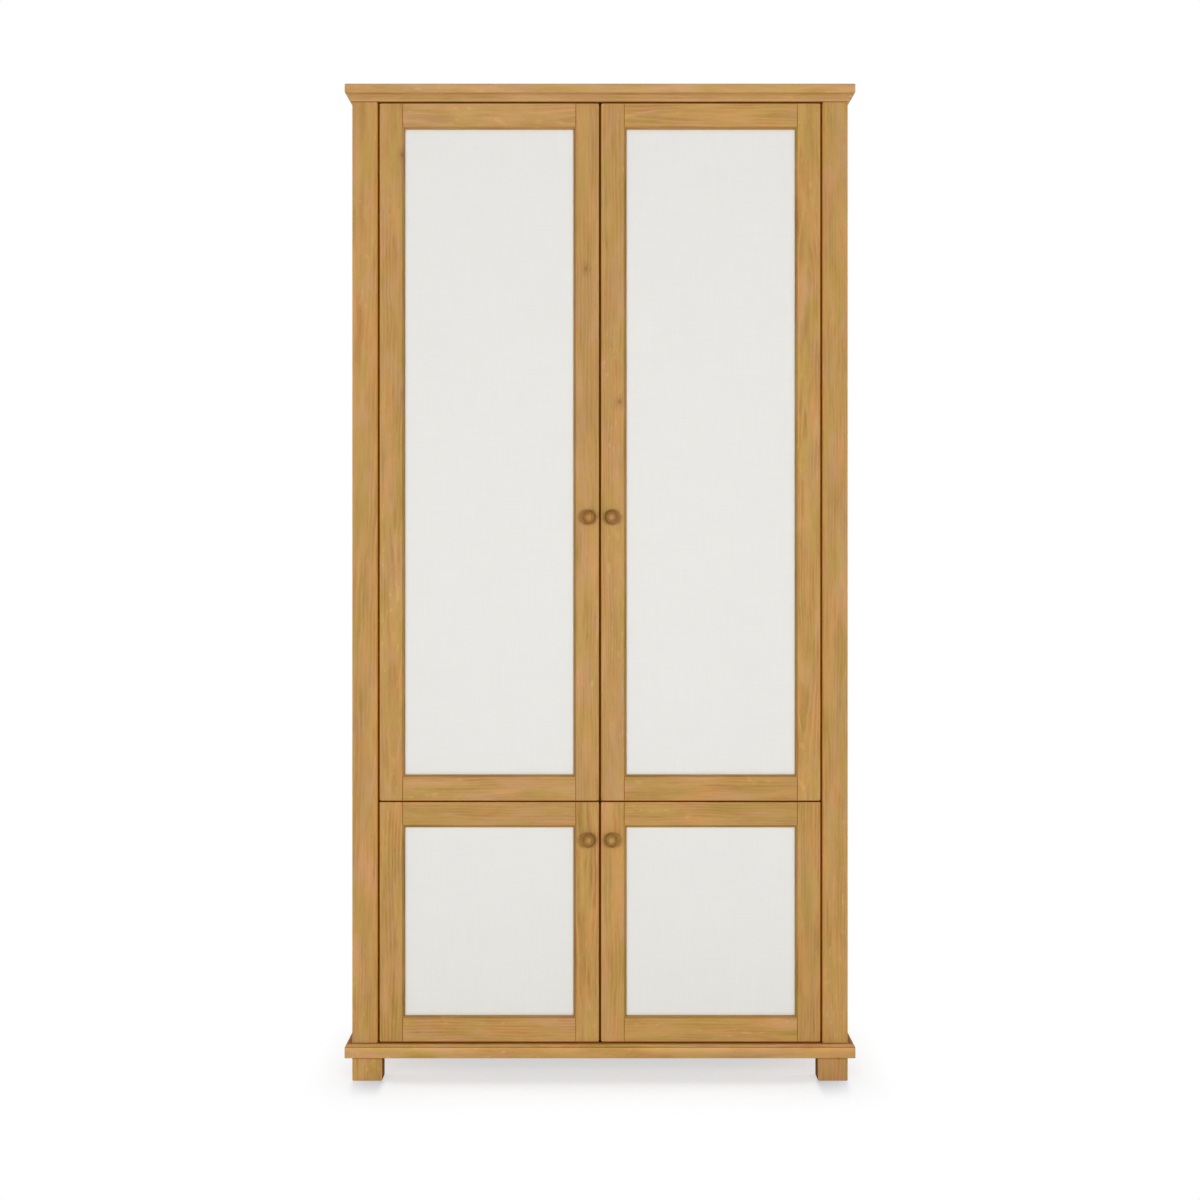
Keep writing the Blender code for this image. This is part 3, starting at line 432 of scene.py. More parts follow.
def board_finish():
    """The sanded and sealed back of the door panels, a pale veneer with upright fibres."""
    looks = bpy.context.scene.cabinet_finish
    material, tree, shader = finish_tree("panel_board")
    place = place_on(tree)
    fibre = noise(tree, place, (620, 620, 14), 3.0, 0.6)
    cloud = noise(tree, place, (14, 14, 2), 3.0)
    line = number(tree, "FRACT", noise(tree, place, (7, 7, 0.9), 2.0) * 26.0)
    line = ramp(tree, line, 0.2, 0.8) * ramp(tree, line, 0.88, 1.0, 1.0, 0.0)
    tinted = blend(tree, line * 0.22, opaque(looks.board_colour), opaque(looks.back_colour))
    feed(shader, {
        "Base Color": vector(tree, "SCALE", tinted, (fibre - 0.5) * 0.16 + 0.92 + cloud * 0.10),
        "Roughness": fibre * 0.16 + 0.62, "Specular IOR Level": 0.25, "Normal": relief(tree, fibre, 0.2),
    })
    return material


def pile_finish():
    """The dense brown pile of the dust strips."""
    looks = bpy.context.scene.cabinet_finish
    material, tree, shader = finish_tree("brown_pile")
    tuft = noise(tree, place_on(tree), (2600, 2600, 2600), 2.0, 0.6)
    # The strip's tone is painted light or shade
    level = attribute(tree, "tone") * (tuft * 0.5 + 0.75)
    feed(shader, {
        "Base Color": vector(tree, "SCALE", looks.pile_colour[:], level), "Roughness": 0.95,
        "Specular IOR Level": 0.1, "Normal": relief(tree, tuft, 0.5),
    })
    return material


def steel_finish():
    """Pressed steel with satin nickel plating and a faint brushed line."""
    looks = bpy.context.scene.cabinet_finish
    material, tree, shader = finish_tree("hinge_steel")
    place = place_on(tree)
    line = noise(tree, place, (300, 300, 5200), 2.0, 0.6)
    level = line * 0.12 + 0.90 + noise(tree, place, (240, 240, 240), 2.0) * 0.06
    feed(shader, {
        "Base Color": vector(tree, "SCALE", looks.steel_colour[:], level), "Metallic": 0.65,
        "Roughness": line * 0.14 + 0.36, "Normal": relief(tree, line, 0.12, 0.0001),
    })
    return material


def finish(name):
    """A finish of the cabinet, made the first time it is asked for."""
    looks = bpy.context.scene.cabinet_finish
    made = bpy.data.materials.get(name)
    if made:
        return made
    if name == "cabinet_oak":
        return oak_finish(name, looks.oak_colour, looks.oak_dark, 1.0)
    if name == "back_veneer":
        return oak_finish(name, looks.back_colour, looks.oak_colour, 0.55)
    return {
        "panel_linen": linen_finish, "panel_board": board_finish, "brown_pile": pile_finish,
        "hinge_steel": steel_finish,
    }[name]()


# Boards

# How a board is sawn: its tone, its warmth, the strength of its figure and the cut
SAWN = {
    "front_left_post": (1.00, 0.0, 0.9, "flat"),
    "front_right_post": (0.98, 0.0, 0.9, "rift"),
    "top_board": (1.13, -0.7, 0.7, "quarter"),
    "cornice_front": (1.03, -0.9, 0.7, "quarter"),
    "base_board": (1.04, -0.2, 0.9, "rift"),
    "upper_left_top_rail": (1.05, -0.6, 0.9, "flat"),
    "upper_right_top_rail": (1.04, -0.1, 1.1, "flat"),
    "upper_left_bottom_rail": (1.02, -0.4, 0.9, "quarter"),
    "upper_right_bottom_rail": (0.96, 0.0, 0.9, "rift"),
    "lower_left_top_rail": (0.97, 0.0, 0.9, "rift"),
    "lower_right_top_rail": (0.97, 0.0, 1.0, "quarter"),
    "lower_left_bottom_rail": (1.06, -0.1, 1.0, "quarter"),
    "lower_right_bottom_rail": (1.01, 0.0, 0.9, "rift"),
    "upper_left_hinge_stile": (0.97, -0.1, 0.9, "flat"),
    "upper_left_meeting_stile": (0.97, -0.2, 0.8, "rift"),
    "upper_right_meeting_stile": (0.97, -0.2, 0.8, "rift"),
    "upper_right_hinge_stile": (1.01, 0.0, 1.1, "flat"),
    "lower_left_hinge_stile": (1.0, 0.0, 1.4, "rift"),
    "lower_left_meeting_stile": (1.02, 0.0, 1.3, "flat"),
    "lower_right_meeting_stile": (1.02, 0.0, 0.8, "rift"),
    "front_left_foot": (1.0, 0.0, 1.2, "flat"),
    "front_right_foot": (0.96, 0.1, 1.2, "flat"),
}
SAWN.update({f"{word}_knob": (0.87, 0.0, 0.6, "flat") for word in WORDS})
PLAIN_SAWN = (1.0, 0.0, 1.0, "rift")
# A knot's place in the photograph, in pixels, and its size on the cabinet
KNOTS = {
    "upper_left_hinge_stile": (402, 154, 0.0060),
    "upper_left_meeting_stile": (586, 268, 0.0060),
    "upper_right_meeting_stile": (620, 401, 0.0060),
}
NO_KNOT = Vector((90, 90, 90))
# Wide boards are glued up from staves. The front one is sawn as SAWN says.
STAVES = {"side_panel": 4, "shelf": 5, "top_board": 6, "carcass_top": 5, "base_board": 6}
STAVE_STYLES = ("flat", "rift", "flat", "quarter")
STAVE_RUN = 0.42


def place_in_photo(x, y):
    """The point on the cabinet's front that shows at a pixel of the photograph, as x and z."""
    return (x - PHOTO_MIDDLE) / PHOTO_SCALE, (PHOTO_FLOOR - y) / PHOTO_SCALE


def board_axes(low, high, upright):
    """The axes of a board's width, thickness and length."""
    size = [high[axis] - low[axis] for axis in range(3)]
    order = sorted(range(3), key=lambda axis: size[axis])
    if upright:
        order = [axis for axis in order if axis != 2] + [2]
    return order[1], order[0], order[2]


def stave_count(node):
    """How many staves a board is glued up from."""
    return next((count for word, count in STAVES.items() if word in node), 1)


def sawn_from(draw, style, width, depth):
    """The way from the tree's heart to a board's middle, and how far the board leans along the tree."""
    if style == "flat":
        heart = (width * draw.uniform(-0.2, 0.2), -depth * draw.uniform(0.9, 1.6))
        slope = (draw.uniform(-0.006, 0.006), draw.uniform(0.016, 0.03))
    elif style == "rift":
        heart = (draw.choice((-1, 1)) * (width * 0.5 + draw.uniform(0.015, 0.045)), -draw.uniform(0.02, 0.06))
        slope = (draw.uniform(-0.010, 0.010), draw.uniform(-0.010, 0.010))
    else:
        heart = (draw.choice((-1, 1)) * draw.uniform(0.09, 0.16), -draw.uniform(0.0, 0.02))
        slope = (draw.uniform(-0.006, 0.006), draw.uniform(-0.006, 0.006))
    return heart, slope


def lay_grain(mesh, node, upright=False):
    """Gives a board, or each of its staves, its place in its tree, its tone, its knot and the painted shade,
    partly oil, of its edges.
    """
    low, high = BOXES[node]
    draw = random.Random("sawn " + node)
    wide, thick, length = board_axes(low, high, upright)
    tone, warmth, figure, style = SAWN.get(node, PLAIN_SAWN)
    width, depth = high[wide] - low[wide], high[thick] - low[thick]
    staves = []
    count = stave_count(node)
    for index in range(count):
        if index:
            style = draw.choice(STAVE_STYLES)
        heart, slope = sawn_from(draw, style, width / count if index else width, depth)
        start = draw.uniform(1, 9)
        shade = tone * draw.uniform(0.985, 1.015)
        middle = low[wide] + width * ((index + 0.5) / count if index else 0.5)
        warm = warmth
        if index:
            shade *= draw.uniform(0.94, 1.03)
            warm += draw.uniform(-0.45, 0.35)
        pace = STAVE_RUN if index or "side_panel" in node else 1
        staves.append((middle, heart, slope, start, pace, (shade, warm, figure)))
    grain, sawn = [], []
    for face in mesh.polygons:
        share = (face.center[wide] - low[wide]) / width
        middle, heart, slope, start, pace, look = staves[min(max(int(share * count), 0), count - 1)]
        for vertex in face.vertices:
            at = mesh.vertices[vertex].co
            run = at[length] - low[length]
            grain += [
                at[wide] - middle - heart[0] - slope[0] * run,
                at[thick] - (low[thick] + high[thick]) / 2 - heart[1] - slope[1] * run,
                run * pace + start,
            ]
        sawn += look
    knot = []
    knot_x, knot_y, knot_size = KNOTS.get(node, (0, 0, 0))
    knot_at = place_in_photo(knot_x, knot_y)
    for vertex in mesh.vertices:
        at = vertex.co
        away = NO_KNOT
        if knot_size:
            away = Vector((at.x - knot_at[0], (at.y - FRONT) * 0.4, (at.z - knot_at[1]) * 0.7)) / knot_size
        knot.extend(away)
    lay(mesh, "grain", grain, "CORNER", "FLOAT_VECTOR")
    lay(mesh, "knot", knot, "POINT", "FLOAT_VECTOR")
    lay(mesh, "sawn", sawn, "FACE", "FLOAT_VECTOR")
    # Painted shade in the hollows and at the edges, partly oil and dark joints
    for name, test in (("hollow", oil_and_shade_in_hollows), ("seam", joint_and_shade_at_edges)):
        lay(mesh, name, [float(test(node, face.center, face.normal)) for face in mesh.polygons], "FACE")


def lay(mesh, name, values, domain, kind="FLOAT"):
    """Puts an attribute on a mesh. The values of vectors are one flat run of numbers."""
    made = mesh.attributes.new(name, kind, domain)
    made.data.foreach_set("vector" if kind == "FLOAT_VECTOR" else "value", values)


def oil_and_shade_in_hollows(node, at, out):
    """How dark a hollow is painted: oil and painted shade in the moulded inner edges of the door frames and
    in the cove, and painted shade on the sides of the base, the feet's inner sides and the posts' edges by
    the doors."""
    low, high = BOXES[node]
    if "cornice" in node:
        return COVE_OIL_AND_SHADE * (high.z - COVE_HEIGHT < at.z < high.z - LIP_HEIGHT)
    if "foot" in node:
        return at.x * out.x < -abs(at.x) * LEVEL_FACING
    if node == "base_board":
        on_side = abs(out.x) > abs(out.y) and at.z > QUIRK_LOW
        on_ledge = abs(at.x) > BODY_HALF and out.z > LEVEL_FACING
        return on_side or on_ledge or min(abs(out.x), abs(out.y)) > 1 - LEVEL_FACING
    if "post" in node:
        return abs(abs(at.x) - OPENING_HALF) < ARRIS_WIDTH and at.y < FRONT + ARRIS_WIDTH
    if not FRONT + EDGE_STEP < at.y < PANEL_FACE:
        return 0
    if "meeting_stile" in node:
        return abs(at.x) > max(abs(low.x), abs(high.x)) - STICKING_WIDTH - EDGE_STEP
    if "hinge_stile" in node:
        return abs(at.x) < min(abs(low.x), abs(high.x)) + STICKING_WIDTH + EDGE_STEP
    if "bottom_rail" in node and "side" not in node:
        return at.z > high.z - STICKING_WIDTH - EDGE_STEP
    if "top_rail" in node and "side" not in node:
        return at.z < low.z + STICKING_WIDTH + EDGE_STEP
    return 0


def joint_and_shade_at_edges(node, at, out):
    """How dark an edge is painted: painted shade on a board's edge by the gap round a door, on the quirks,
    slope and ledge of the base, on the cornice's ends and the feet's inner sides, a painted shadow line on
    the cornice's lip under the top board, and a dark joint at a rail's shoulder by its stile."""
    low, high = BOXES[node]
    if "post" in node:
        beside = abs(abs(at.x) - OPENING_HALF) < EDGE_STEP
        return beside and FRONT + ARRIS_WIDTH < at.y < FRONT + GAP_DEPTH
    if "foot" in node:
        return FOOT_SHADE * (at.x * out.x < -abs(at.x) * LEVEL_FACING)
    if node == "base_board" and abs(out.x) > abs(out.y) and at.z > QUIRK_LOW:
        return BASE_SIDE_SHADE
    if node == "base_board" and at.z > high.z - CLEARANCE:
        return BASE_LEDGE_SHADE if abs(at.x) > BODY_HALF else BASE_TOP_SHADE * (at.y < FRONT + GAP_DEPTH)
    if node == "base_board" and out.y < LEVEL_FACING:
        return QUIRK_LOW - CLEARANCE < at.z < QUIRK_LOW + QUIRK_HEIGHT + CLEARANCE
    if "cornice" in node:
        beside = abs(out.x) > abs(out.y) and abs(out.z) < LEVEL_FACING
        return CORNICE_END_SHADE * beside if at.z < high.z - LIP_HEIGHT else LIP_SHADOW
    if "stile" not in node and "rail" not in node or "side" in node or "rear" in node:
        return 0
    # Painted shade on the edges by the gaps round the doors; the rails' shoulders below are dark joints
    behind = FRONT + BEHIND < at.y < FRONT + SEAM_DEPTH
    if "stile" in node:
        gap_edge = max(abs(low.x), abs(high.x)) if "hinge" in node else min(abs(low.x), abs(high.x))
        from_edge = abs(abs(at.x) - gap_edge)
        arris = from_edge < ARRIS_WIDTH and at.y < FRONT + ARRIS_WIDTH and abs(out.y) < TURNED_FACING
        painted_shade = HINGE_ARRIS_SHADE if "hinge" in node else MEETING_ARRIS_SHADE
        return behind and from_edge < EDGE_STEP or painted_shade * arris
    edge = high.z - EDGE_STEP < at.z if "top_rail" in node else at.z < low.z + EDGE_STEP
    if edge and behind and "lower" in node and "top_rail" in node:
        return HEAD_GAP_SHADE
    shoulder = RAIL_OUTER - SHOULDER_WIDTH < abs(at.x) or abs(at.x) < RAIL_INNER + SHOULDER_WIDTH
    return behind and edge or shoulder and abs(out.x) < SHOULDER_FACING and at.y < FRONT + STICKING_WIDTH


@contextlib.contextmanager
def editing(mesh):
    """A mesh opened as a bmesh, and written back at the end."""
    bm = bmesh.new()
    bm.from_mesh(mesh)
    yield bm
    bm.to_mesh(mesh)
    bm.free()


def cut_across(bm, point, way):
    bmesh.ops.bisect_plane(bm, geom=bm.verts[:] + bm.edges[:] + bm.faces[:], plane_co=point, plane_no=way)


def open_shoulders(mesh, node):
    """Takes the edge off the shoulders of a door's rail, so that the joint shows as a fine line."""
    side = side_of(node)
    with editing(mesh) as bm:
        for shoulder, way in ((RAIL_OUTER, -1), (RAIL_INNER, 1)):
            cut_across(bm, (side * (shoulder + way * SHOULDER_WIDTH), 0, 0), (1, 0, 0))
            for vertex in bm.verts:
                near = abs(abs(vertex.co.x) - shoulder) < EDGE_STEP
                if near and vertex.co.y < FRONT + CLEARANCE:
                    vertex.co.y += SHOULDER_DEPTH


def score(mesh, node):
    """Splits a board's faces where its painted shade and painted highlight end, and between its staves."""
    planes = []
    if node in UPRIGHTS or node == "base_board":
        planes.append(((0, FRONT + GAP_DEPTH, 0), (0, 1, 0)))
    elif ("stile" in node or "rail" in node) and "side" not in node:
        planes.append(((0, FRONT + SEAM_DEPTH, 0), (0, 1, 0)))
    if node == "base_board":
        planes.append(((0, 0, QUIRK_LOW - PAINTED_HIGHLIGHT_HEIGHT), (0, 0, 1)))
        planes += [((side * BODY_HALF, 0, 0), (1, 0, 0)) for side in (-1, 1)]
    low, high = BOXES[node]
    wide = board_axes(low, high, False)[0]
    count = stave_count(node)
    for index in range(1, count):
        point = low.lerp(high, index / count)
        planes.append((point, [float(axis == wide) for axis in range(3)]))
    with editing(mesh) as bm:
        for point, way in planes:
            cut_across(bm, point, way)


def lay_painted_highlight(mesh):
    """A painted highlight on the base's face, brightest along its upper edge where light from above falls."""
    lay(mesh, "rub", [
        min(max((v.co.z - QUIRK_LOW) / PAINTED_HIGHLIGHT_HEIGHT + 1, 0), 1) * (v.co.z < QUIRK_LOW + EDGE_STEP)
        for v in mesh.vertices
    ], "POINT")


def merged(node):
    """A copy of a CAD node's mesh with its doubles merged and its flat faces joined."""
    bm = bmesh.new()
    bm.from_mesh(frame["nodes"][node].data)
    bmesh.ops.remove_doubles(bm, verts=bm.verts, dist=MERGE_DISTANCE)
    bmesh.ops.dissolve_limit(bm, angle_limit=FLAT_ANGLE, verts=bm.verts, edges=bm.edges)
    mesh = bpy.data.meshes.new(node + "_copy")
    bm.to_mesh(mesh)
    bm.free()
    return mesh


def new_object(name, mesh):
    obj = bpy.data.objects.new(name, mesh)
    bpy.context.scene.collection.objects.link(obj)
    return obj


def applied(obj):
    """Makes an object's modifiers part of its mesh."""
    graph = bpy.context.evaluated_depsgraph_get()
    mesh = bpy.data.meshes.new_from_object(obj.evaluated_get(graph), depsgraph=graph)
    obj.modifiers.clear()
    old = obj.data
    obj.data = mesh
    mesh.name = obj.name
    bpy.data.meshes.remove(old)
    return obj


def mark_edges(mesh, is_metal, eased):
    """Marks the edges that are rounded and those that stay sharp, and which faces are metal."""
    with editing(mesh) as bm:
        layers = bm.edges.layers.float
        weights = layers.get("bevel_weight_edge") or layers.new("bevel_weight_edge")
        for face in bm.faces:
            face.smooth = True
            face.material_index = int(is_metal(face.calc_center_median()))
        for edge in bm.edges:
            if len(edge.link_faces) != 2:
                continue
            angle = edge.calc_face_angle(0.0)
            ends_long = all(
                other.calc_length() > SHORTEST_EASED for vertex in edge.verts for other in vertex.link_edges
            )
            wood = not any(face.material_index for face in edge.link_faces)
            rounded = eased and angle > EASED_ANGLE and ends_long and wood and edge.is_convex
            edge[weights] = float(rounded)
            edge.smooth = angle < SHARP_ANGLE or rounded


def no_metal(point):
    return False


def eased(obj, width):
    """Rounds the marked edges of an object, and shades it by its large faces."""
    bevel = obj.modifiers.new("ease", "BEVEL")
    bevel.limit_method = "WEIGHT"
    bevel.width = width
    bevel.segments = 2
    bevel.use_clamp_overlap = False
    applied(obj).data.set_sharp_from_angle(angle=SHARP_ANGLE)
    shading = obj.modifiers.new("shading", "WEIGHTED_NORMAL")
    shading.keep_sharp = True
    return applied(obj)


def board(node, suffix="oak", wood="cabinet_oak", is_metal=no_metal, upright=False, holes=()):
    """An eased board with its own grain, in place of a CAD node."""
    sizes = bpy.context.scene.cabinet_detail
    obj = new_object(f"{node}_{suffix}", merged(node))
    mark_edges(obj.data, is_metal, False)
    for finish_name in (wood, "hinge_steel"):
        obj.data.materials.append(finish(finish_name))
    if holes:
        drill(obj, holes)
    if "_rail" in node and "side" not in node:
        open_shoulders(obj.data, node)
    score(obj.data, node)
    mark_edges(obj.data, is_metal, True)
    eased(obj, sizes.ease)
    lay_grain(obj.data, node, upright)
    if node == "base_board":
        lay_painted_highlight(obj.data)
    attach(obj, BODIES[node])
    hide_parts(node)
    return obj


# Geometry node trees

def geometry_tree(name, inputs):
    """A geometry node tree with these inputs after its geometry, and the way in to them."""
    tree = bpy.data.node_groups.new(name, "GeometryNodeTree")
    tree.interface.new_socket("Geometry", in_out="INPUT", socket_type="NodeSocketGeometry")
    for label, kind in inputs:
        tree.interface.new_socket(label, in_out="INPUT", socket_type=kind)
    tree.interface.new_socket("Geometry", in_out="OUTPUT", socket_type="NodeSocketGeometry")
    return tree, tree.nodes.new("NodeGroupInput").outputs


def close_tree(tree, geometry, material, selection=True):
    """Ends a tree in Realize Instances and Set Material."""
    real = add(tree, "GeometryNodeRealizeInstances", {"Geometry": geometry}).outputs[0]
    painted = add(
        tree, "GeometryNodeSetMaterial", {"Geometry": real, "Selection": selection, "Material": material}
    ).outputs[0]
    tree.links.new(painted, tree.nodes.new("NodeGroupOutput").inputs[0])


def run_tree(obj, tree, values):
    """Puts a tree on an object with its named inputs set, and makes the result its mesh."""
    modifier = obj.modifiers.new(tree.name, "NODES")
    modifier.node_group = tree
    for item in tree.interface.items_tree:
        if item.in_out == "INPUT" and item.name in values:
            modifier[item.identifier] = values[item.name]
    return applied(obj)


def pin_hole_tree():
    """Drills a short upright row of holes, without the one in its middle, where the pin is."""
    name = "shelf_pin_holes"
    if name in bpy.data.node_groups:
        return bpy.data.node_groups[name]
    tree, ways = geometry_tree(name, (
        ("Foot", "NodeSocketVector"), ("Pitch", "NodeSocketFloat"), ("Count", "NodeSocketInt"),
        ("Diameter", "NodeSocketFloat"), ("Depth", "NodeSocketFloat"),
    ))
    step = add(tree, "ShaderNodeCombineXYZ", {"Z": ways["Pitch"]}).outputs[0]
    row = add(
        tree, "GeometryNodeMeshLine", {"Count": ways["Count"], "Start Location": ways["Foot"], "Offset": step}
    )
    index = add(tree, "GeometryNodeInputIndex").outputs[0]
    half = number(tree, "FLOOR", number(tree, "DIVIDE", ways["Count"], 2.0))
    middle = add(
        tree, "FunctionNodeCompare", {2: index, 3: half}, data_type="INT", operation="EQUAL"
    ).outputs[0]
    places = add(
        tree, "GeometryNodeDeleteGeometry", {"Geometry": row.outputs[0], "Selection": middle}, domain="POINT"
    ).outputs[0]
    radius = number(tree, "DIVIDE", ways["Diameter"], 2.0)
    reach = number(tree, "MULTIPLY", ways["Depth"], 2.0)
    drill_bit = add(tree, "GeometryNodeMeshCylinder", {"Vertices": 12, "Radius": radius, "Depth": reach})
    holes = add(tree, "GeometryNodeInstanceOnPoints", {
        "Points": places, "Instance": drill_bit.outputs["Mesh"], "Rotation": (0, math.pi / 2, 0),
    }).outputs[0]
    holes = add(tree, "GeometryNodeRealizeInstances", {"Geometry": holes}).outputs[0]
    cut = add(tree, "GeometryNodeMeshBoolean", operation="DIFFERENCE", solver="EXACT")
    tree.links.new(ways["Geometry"], cut.inputs["Mesh 1"])
    tree.links.new(holes, cut.inputs["Mesh 2"])
    metal = add(
        tree, "GeometryNodeInputNamedAttribute", {"Name": "metal"}, data_type="BOOLEAN"
    ).outputs["Attribute"]
    wood = add(tree, "FunctionNodeBooleanMath", {0: metal}, operation="NOT").outputs[0]
    close_tree(tree, cut.outputs["Mesh"], finish("cabinet_oak"), wood)
    return tree


def drill(obj, pins):
    """Drills the spare holes above and below each shelf pin of an upright."""
    sizes = bpy.context.scene.cabinet_detail
    lay(obj.data, "metal", [bool(face.material_index) for face in obj.data.polygons], "FACE", "BOOLEAN")
    drop = Vector((0, 0, sizes.hole_pitch * (sizes.hole_count // 2)))
    for pin in pins:
        run_tree(obj, pin_hole_tree(), {
            "Foot": Vector(pin) - drop, "Pitch": sizes.hole_pitch, "Count": sizes.hole_count,
            "Diameter": sizes.hole_diameter, "Depth": sizes.hole_depth,
        })


def screw_tree():
    """Sets a screw head with a cross recess on each point, facing the way the point says."""
    name = "screw_heads"
    if name in bpy.data.node_groups:
        return bpy.data.node_groups[name]
    tree, ways = geometry_tree(name, (
        ("Diameter", "NodeSocketFloat"), ("Height", "NodeSocketFloat"), ("Recess width", "NodeSocketFloat"),
    ))
    radius = number(tree, "DIVIDE", ways["Diameter"], 2.0)
    base = add(tree, "GeometryNodeMeshCone", {
        "Vertices": 20, "Radius Top": number(tree, "MULTIPLY", radius, 0.72), "Radius Bottom": radius,
        "Depth": ways["Height"],
    }).outputs["Mesh"]
    long = number(tree, "MULTIPLY", radius, 1.05)
    deep = number(tree, "MULTIPLY", ways["Height"], 1.1)
    bars = []
    for sides in ((long, ways["Recess width"]), (ways["Recess width"], long)):
        size = add(tree, "ShaderNodeCombineXYZ", {"X": sides[0], "Y": sides[1], "Z": deep}).outputs[0]
        bars.append(add(tree, "GeometryNodeMeshCube", {"Size": size}).outputs["Mesh"])
    cross = add(tree, "GeometryNodeMeshBoolean", operation="UNION", solver="EXACT")
    for bar in bars:
        tree.links.new(bar, cross.inputs["Mesh 2"])
    lift = add(tree, "ShaderNodeCombineXYZ", {"Z": ways["Height"]}).outputs[0]
    raised = add(
        tree, "GeometryNodeTransform", {"Geometry": cross.outputs["Mesh"], "Translation": lift}
    ).outputs[0]
    cut = add(tree, "GeometryNodeMeshBoolean", operation="DIFFERENCE", solver="EXACT")
    tree.links.new(base, cut.inputs["Mesh 1"])
    tree.links.new(raised, cut.inputs["Mesh 2"])
    facing = add(
        tree, "GeometryNodeInputNamedAttribute", {"Name": "facing"}, data_type="FLOAT_VECTOR"
    ).outputs["Attribute"]
    turn = add(tree, "FunctionNodeAlignRotationToVector", {"Vector": facing}, axis="Z").outputs[0]
    heads = add(tree, "GeometryNodeInstanceOnPoints", {
        "Points": ways["Geometry"], "Instance": cut.outputs["Mesh"], "Rotation": turn,
    }).outputs[0]
    close_tree(tree, heads, finish("hinge_steel"))
    return tree


def screws(name, body, places, diameter):
    """Screw heads at these places, each a point and the way it faces."""
    sizes = bpy.context.scene.cabinet_detail
    mesh = bpy.data.meshes.new(name)
    mesh.from_pydata([point for point, _ in places], [], [])
    lay(mesh, "facing", [value for _, way in places for value in way], "POINT", "FLOAT_VECTOR")
    obj = run_tree(new_object(name, mesh), screw_tree(), {
        "Diameter": diameter, "Height": sizes.screw_height, "Recess width": sizes.recess_width,
    })
    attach(obj, body)
    return obj


# Operators

class CabinetOperator(bpy.types.Operator):
    """Makes one piece, or one group of like pieces."""

    bl_options = {"REGISTER", "UNDO"}

    def execute(self, context):
        self.make(context)
        return {"FINISHED"}


UPRIGHTS = ("front_left_post", "front_right_post", "rear_left_stile", "rear_right_stile")
SHELVES = ("fixed_shelf", "lower_shelf", "upper_shelf_low", "upper_shelf_middle", "upper_shelf_high")
LOOSE_SHELVES = SHELVES[1:]
PIN_RADIUS = 0.0025
FRONT_PIN = 0.068
REAR_PIN = 0.035

# Hinges: where a cup stands in its stile, and where the screws of a cup and of a plate are
CUP_INNER = 0.3925
CUP_OUTER = 0.4425
CUP_MIDDLE = 0.4205
CUP_REACH = 0.0178
CUP_FRONT = 0.0080
CUP_FLANGE = 0.0005
CUP_SCREW_MIDDLE = 0.4145
CUP_SCREW_RISE = 0.0240
CUP_SCREW_SHARE = 0.9
PLATE_WING = 0.0023
PLATE_SCREW_BACK = 0.059
PLATE_SCREW_RISE = 0.0170


def side_of(name):
    return -1 if "left" in name else 1


class MakeUprights(CabinetOperator):
    """The two posts and the two rear stiles, with the holes of the shelf pins"""

    bl_idname = "cabinet.uprights"
    bl_label = "Posts and rear stiles"

    def make(self, context):
        for node in UPRIGHTS:
            side = side_of(node)
            front = "post" in node
            face = OPENING_HALF if front else SIDE_INNER
            y = FRONT + FRONT_PIN if front else CARCASS_BACK - REAR_PIN
            pins = [(side * face, y, BOXES[shelf][0].z - PIN_RADIUS) for shelf in LOOSE_SHELVES]
            board(
                node, upright=True, holes=pins,
                is_metal=lambda point, face=face: abs(point.x) < face - CLEARANCE,
            )


class MakeCarcass(CabinetOperator):
    """Top, cornice, base, side frames and feet"""

    bl_idname = "cabinet.carcass"
    bl_label = "Carcass"

    def make(self, context):
        flat_nodes = ["top_board", "carcass_top", "cornice_front", "cornice_left", "cornice_right"]
        flat_nodes += ["base_board"]
        flat_nodes += [f"{side}_side_{end}_rail" for side in ("left", "right") for end in ("top", "bottom")]
        for node in flat_nodes:
            board(node)
        for side in ("left", "right"):
            board(side + "_side_panel", upright=True)
        for end in ("front", "rear"):
            for side in ("left", "right"):
                board(f"{end}_{side}_foot", upright=True)


class MakeShelves(CabinetOperator):
    """The shelf boards"""

    bl_idname = "cabinet.shelves"
    bl_label = "Shelves"

    def make(self, context):
        for node in SHELVES:
            board(node)


# The back's screws: from the panel's edge, how deep in it, how many spaces up and across, and their size
BACK_MARGIN = 0.009
SCREW_SINK = 0.0006
BACK_SPACES = (9, 4)
BACK_SCREW_SHARE = 0.8


class MakeBack(CabinetOperator):
    """The back panel, a veneered board, and its screws"""

    bl_idname = "cabinet.back"
    bl_label = "Back panel"

    def make(self, context):
        board("back_panel", suffix="veneer", wood="back_veneer", upright=True)
        low, high = BOXES["back_panel"]
        sides = [low.x + BACK_MARGIN, high.x - BACK_MARGIN]
        ends = [low.z + BACK_MARGIN, high.z - BACK_MARGIN]
        up, across = BACK_SPACES
        spots = [(x, ends[0] + (ends[1] - ends[0]) * step / up) for x in sides for step in range(up + 1)]
        spots += [
            (sides[0] + (sides[1] - sides[0]) * step / across, z) for z in ends for step in range(1, across)
        ]
        places = [(Vector((x, high.y - SCREW_SINK, z)), BACKWARD) for x, z in spots]
        diameter = context.scene.cabinet_detail.screw_diameter * BACK_SCREW_SHARE
        screws("back_screws", "carcass", places, diameter)


